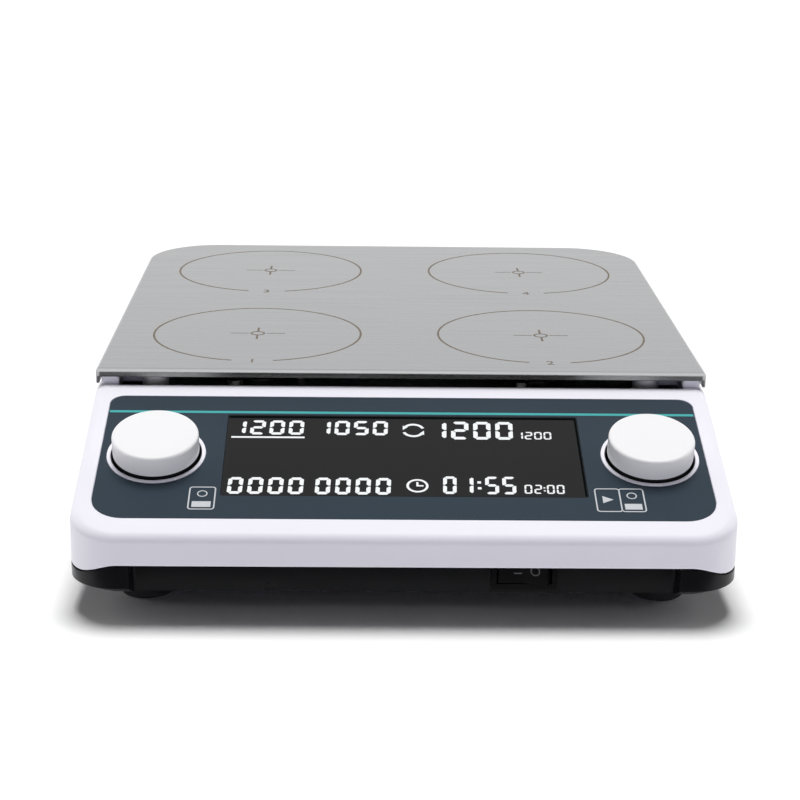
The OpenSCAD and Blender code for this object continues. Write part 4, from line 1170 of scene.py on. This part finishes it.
printed("switch_on_mark", [ON_MARK], rocker_place(-1), SWITCH_PRINT, "power_rocker", "black_switch")
printed("switch_off_mark", OFF_MARK, rocker_place(1), SWITCH_PRINT, "power_rocker", "black_switch")


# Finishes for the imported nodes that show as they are

for row in frame["record"]["subparts"]:
    node = frame["nodes"][row["node"]]
    node.data.materials.clear()
    node.data.materials.append(FINISHES[row["material_slot"]])


# Stage, light and camera, in metres and degrees

FLOOR_REACH = 12.0
CARD_HALF = 0.2
CARD_ROWS = ((-0.16, 0.001), (-1.3, 0.001), (-1.3, 0.3))
SKY_LIGHT = 0.085
CAMERA_SPOT = Vector((-0.0152, -0.7019, 0.24105))
CAMERA_YAW = 1.310
CAMERA_PITCH = 16.703
CAMERA_ROLL = 0.796
CAMERA_LENS = 85.5
CAMERA_SENSOR = 36
CAMERA_FAR = 50


def build_floor():
    """A wide sheet of pale paper."""
    mesh = bpy.data.meshes.new("floor")
    corners = [(x * FLOOR_REACH, y * FLOOR_REACH, 0) for x, y in ((-1, -1), (1, -1), (1, 1), (-1, 1))]
    mesh.from_pydata(corners, [], [(0, 1, 2, 3)])
    floor = bpy.data.objects.new("floor", mesh)
    bpy.context.scene.collection.objects.link(floor)
    floor.data.materials.append(make_finish("floor_paper", (0.985, 0.985, 0.985), (0.002, 3, EVEN),
                                            (0.9, 0.02, 3, EVEN), (40, EVEN, 0.0),
                                            {"Specular IOR Level": 0.0}))


def build_world(lit):
    """White where it is seen directly or mirrored, and dimmer where it lights."""
    world = bpy.data.worlds.new("studio")
    world.use_nodes = True
    tree = world.node_tree
    tree.nodes.clear()
    ray = add_node(tree, "ShaderNodeLightPath")
    seen = add_node(tree, "ShaderNodeMath", {"operation": "MAXIMUM"},
                    {0: ray.outputs["Is Camera Ray"], 1: ray.outputs["Is Glossy Ray"]})
    strength = add_node(tree, "ShaderNodeMapRange", None,
                        {"Value": seen.outputs[0], "To Min": lit, "To Max": 1.0})
    glow = add_node(tree, "ShaderNodeBackground", None,
                    {"Color": (1, 1, 1, 1), "Strength": strength.outputs["Result"]})
    sky = add_node(tree, "ShaderNodeOutputWorld")
    tree.links.new(glow.outputs[0], sky.inputs["Surface"])
    bpy.context.scene.world = world


def build_lamp(name, energy, tilt, spread, tint=(1, 1, 1), turn=0):
    """A wide soft light: it leans from straight above towards the user, and turns about the upright."""
    lamp = bpy.data.lights.new(name, "SUN")
    lamp.energy = energy
    lamp.color = tint
    lamp.angle = math.radians(spread)
    light = bpy.data.objects.new(name, lamp)
    light.rotation_euler = (math.radians(tilt), 0, math.radians(turn))
    light.visible_glossy = False
    bpy.context.scene.collection.objects.link(light)


def build_camera():
    """The photo's camera: turned to the right, tipped down and rolled a little."""
    yaw, pitch, roll = (math.radians(a) for a in (CAMERA_YAW, CAMERA_PITCH, CAMERA_ROLL))
    ahead = Vector((math.sin(yaw) * math.cos(pitch), math.cos(yaw) * math.cos(pitch), -math.sin(pitch)))
    right = Vector((math.cos(yaw), -math.sin(yaw), 0))
    up = right.cross(ahead)
    level = right * math.cos(roll) + up * math.sin(roll)
    upright = up * math.cos(roll) - right * math.sin(roll)
    lens = bpy.data.cameras.new("camera")
    lens.lens = CAMERA_LENS
    lens.sensor_width = CAMERA_SENSOR
    lens.clip_end = CAMERA_FAR
    camera = bpy.data.objects.new("camera", lens)
    turn = Matrix((level, upright, -ahead)).transposed().to_4x4()
    camera.matrix_world = Matrix.Translation(CAMERA_SPOT) @ turn
    bpy.context.scene.collection.objects.link(camera)
    bpy.context.scene.camera = camera


def build_dark_card():
    """A dark card in front that only mirror-like surfaces see."""
    mesh = bpy.data.meshes.new("dark_card")
    corners = [(side * CARD_HALF, y, z) for y, z in CARD_ROWS for side in (-1, 1)]
    mesh.from_pydata(corners, [], [(0, 1, 3, 2), (2, 3, 5, 4)])
    card = bpy.data.objects.new("dark_card", mesh)
    bpy.context.scene.collection.objects.link(card)
    card.data.materials.append(moulding("card_paper", (0.02, 0.016, 0.012), 0.9, 0.0, level=0.0))
    card.visible_camera = False
    card.visible_diffuse = False
    card.visible_shadow = False
    card.visible_transmission = False


build_floor()
build_dark_card()
build_world(SKY_LIGHT)
build_lamp("top_softbox", energy=2.85, tilt=-17, spread=27)
build_lamp("left_softbox", energy=0.55, tilt=66, spread=40, turn=-108)
build_lamp("right_softbox", energy=0.55, tilt=66, spread=40, turn=108)
build_lamp("front_fill", energy=0.36, tilt=87, spread=20, tint=(0.9, 0.9, 1.25))
build_camera()
bpy.context.scene.view_settings.view_transform = "Standard"
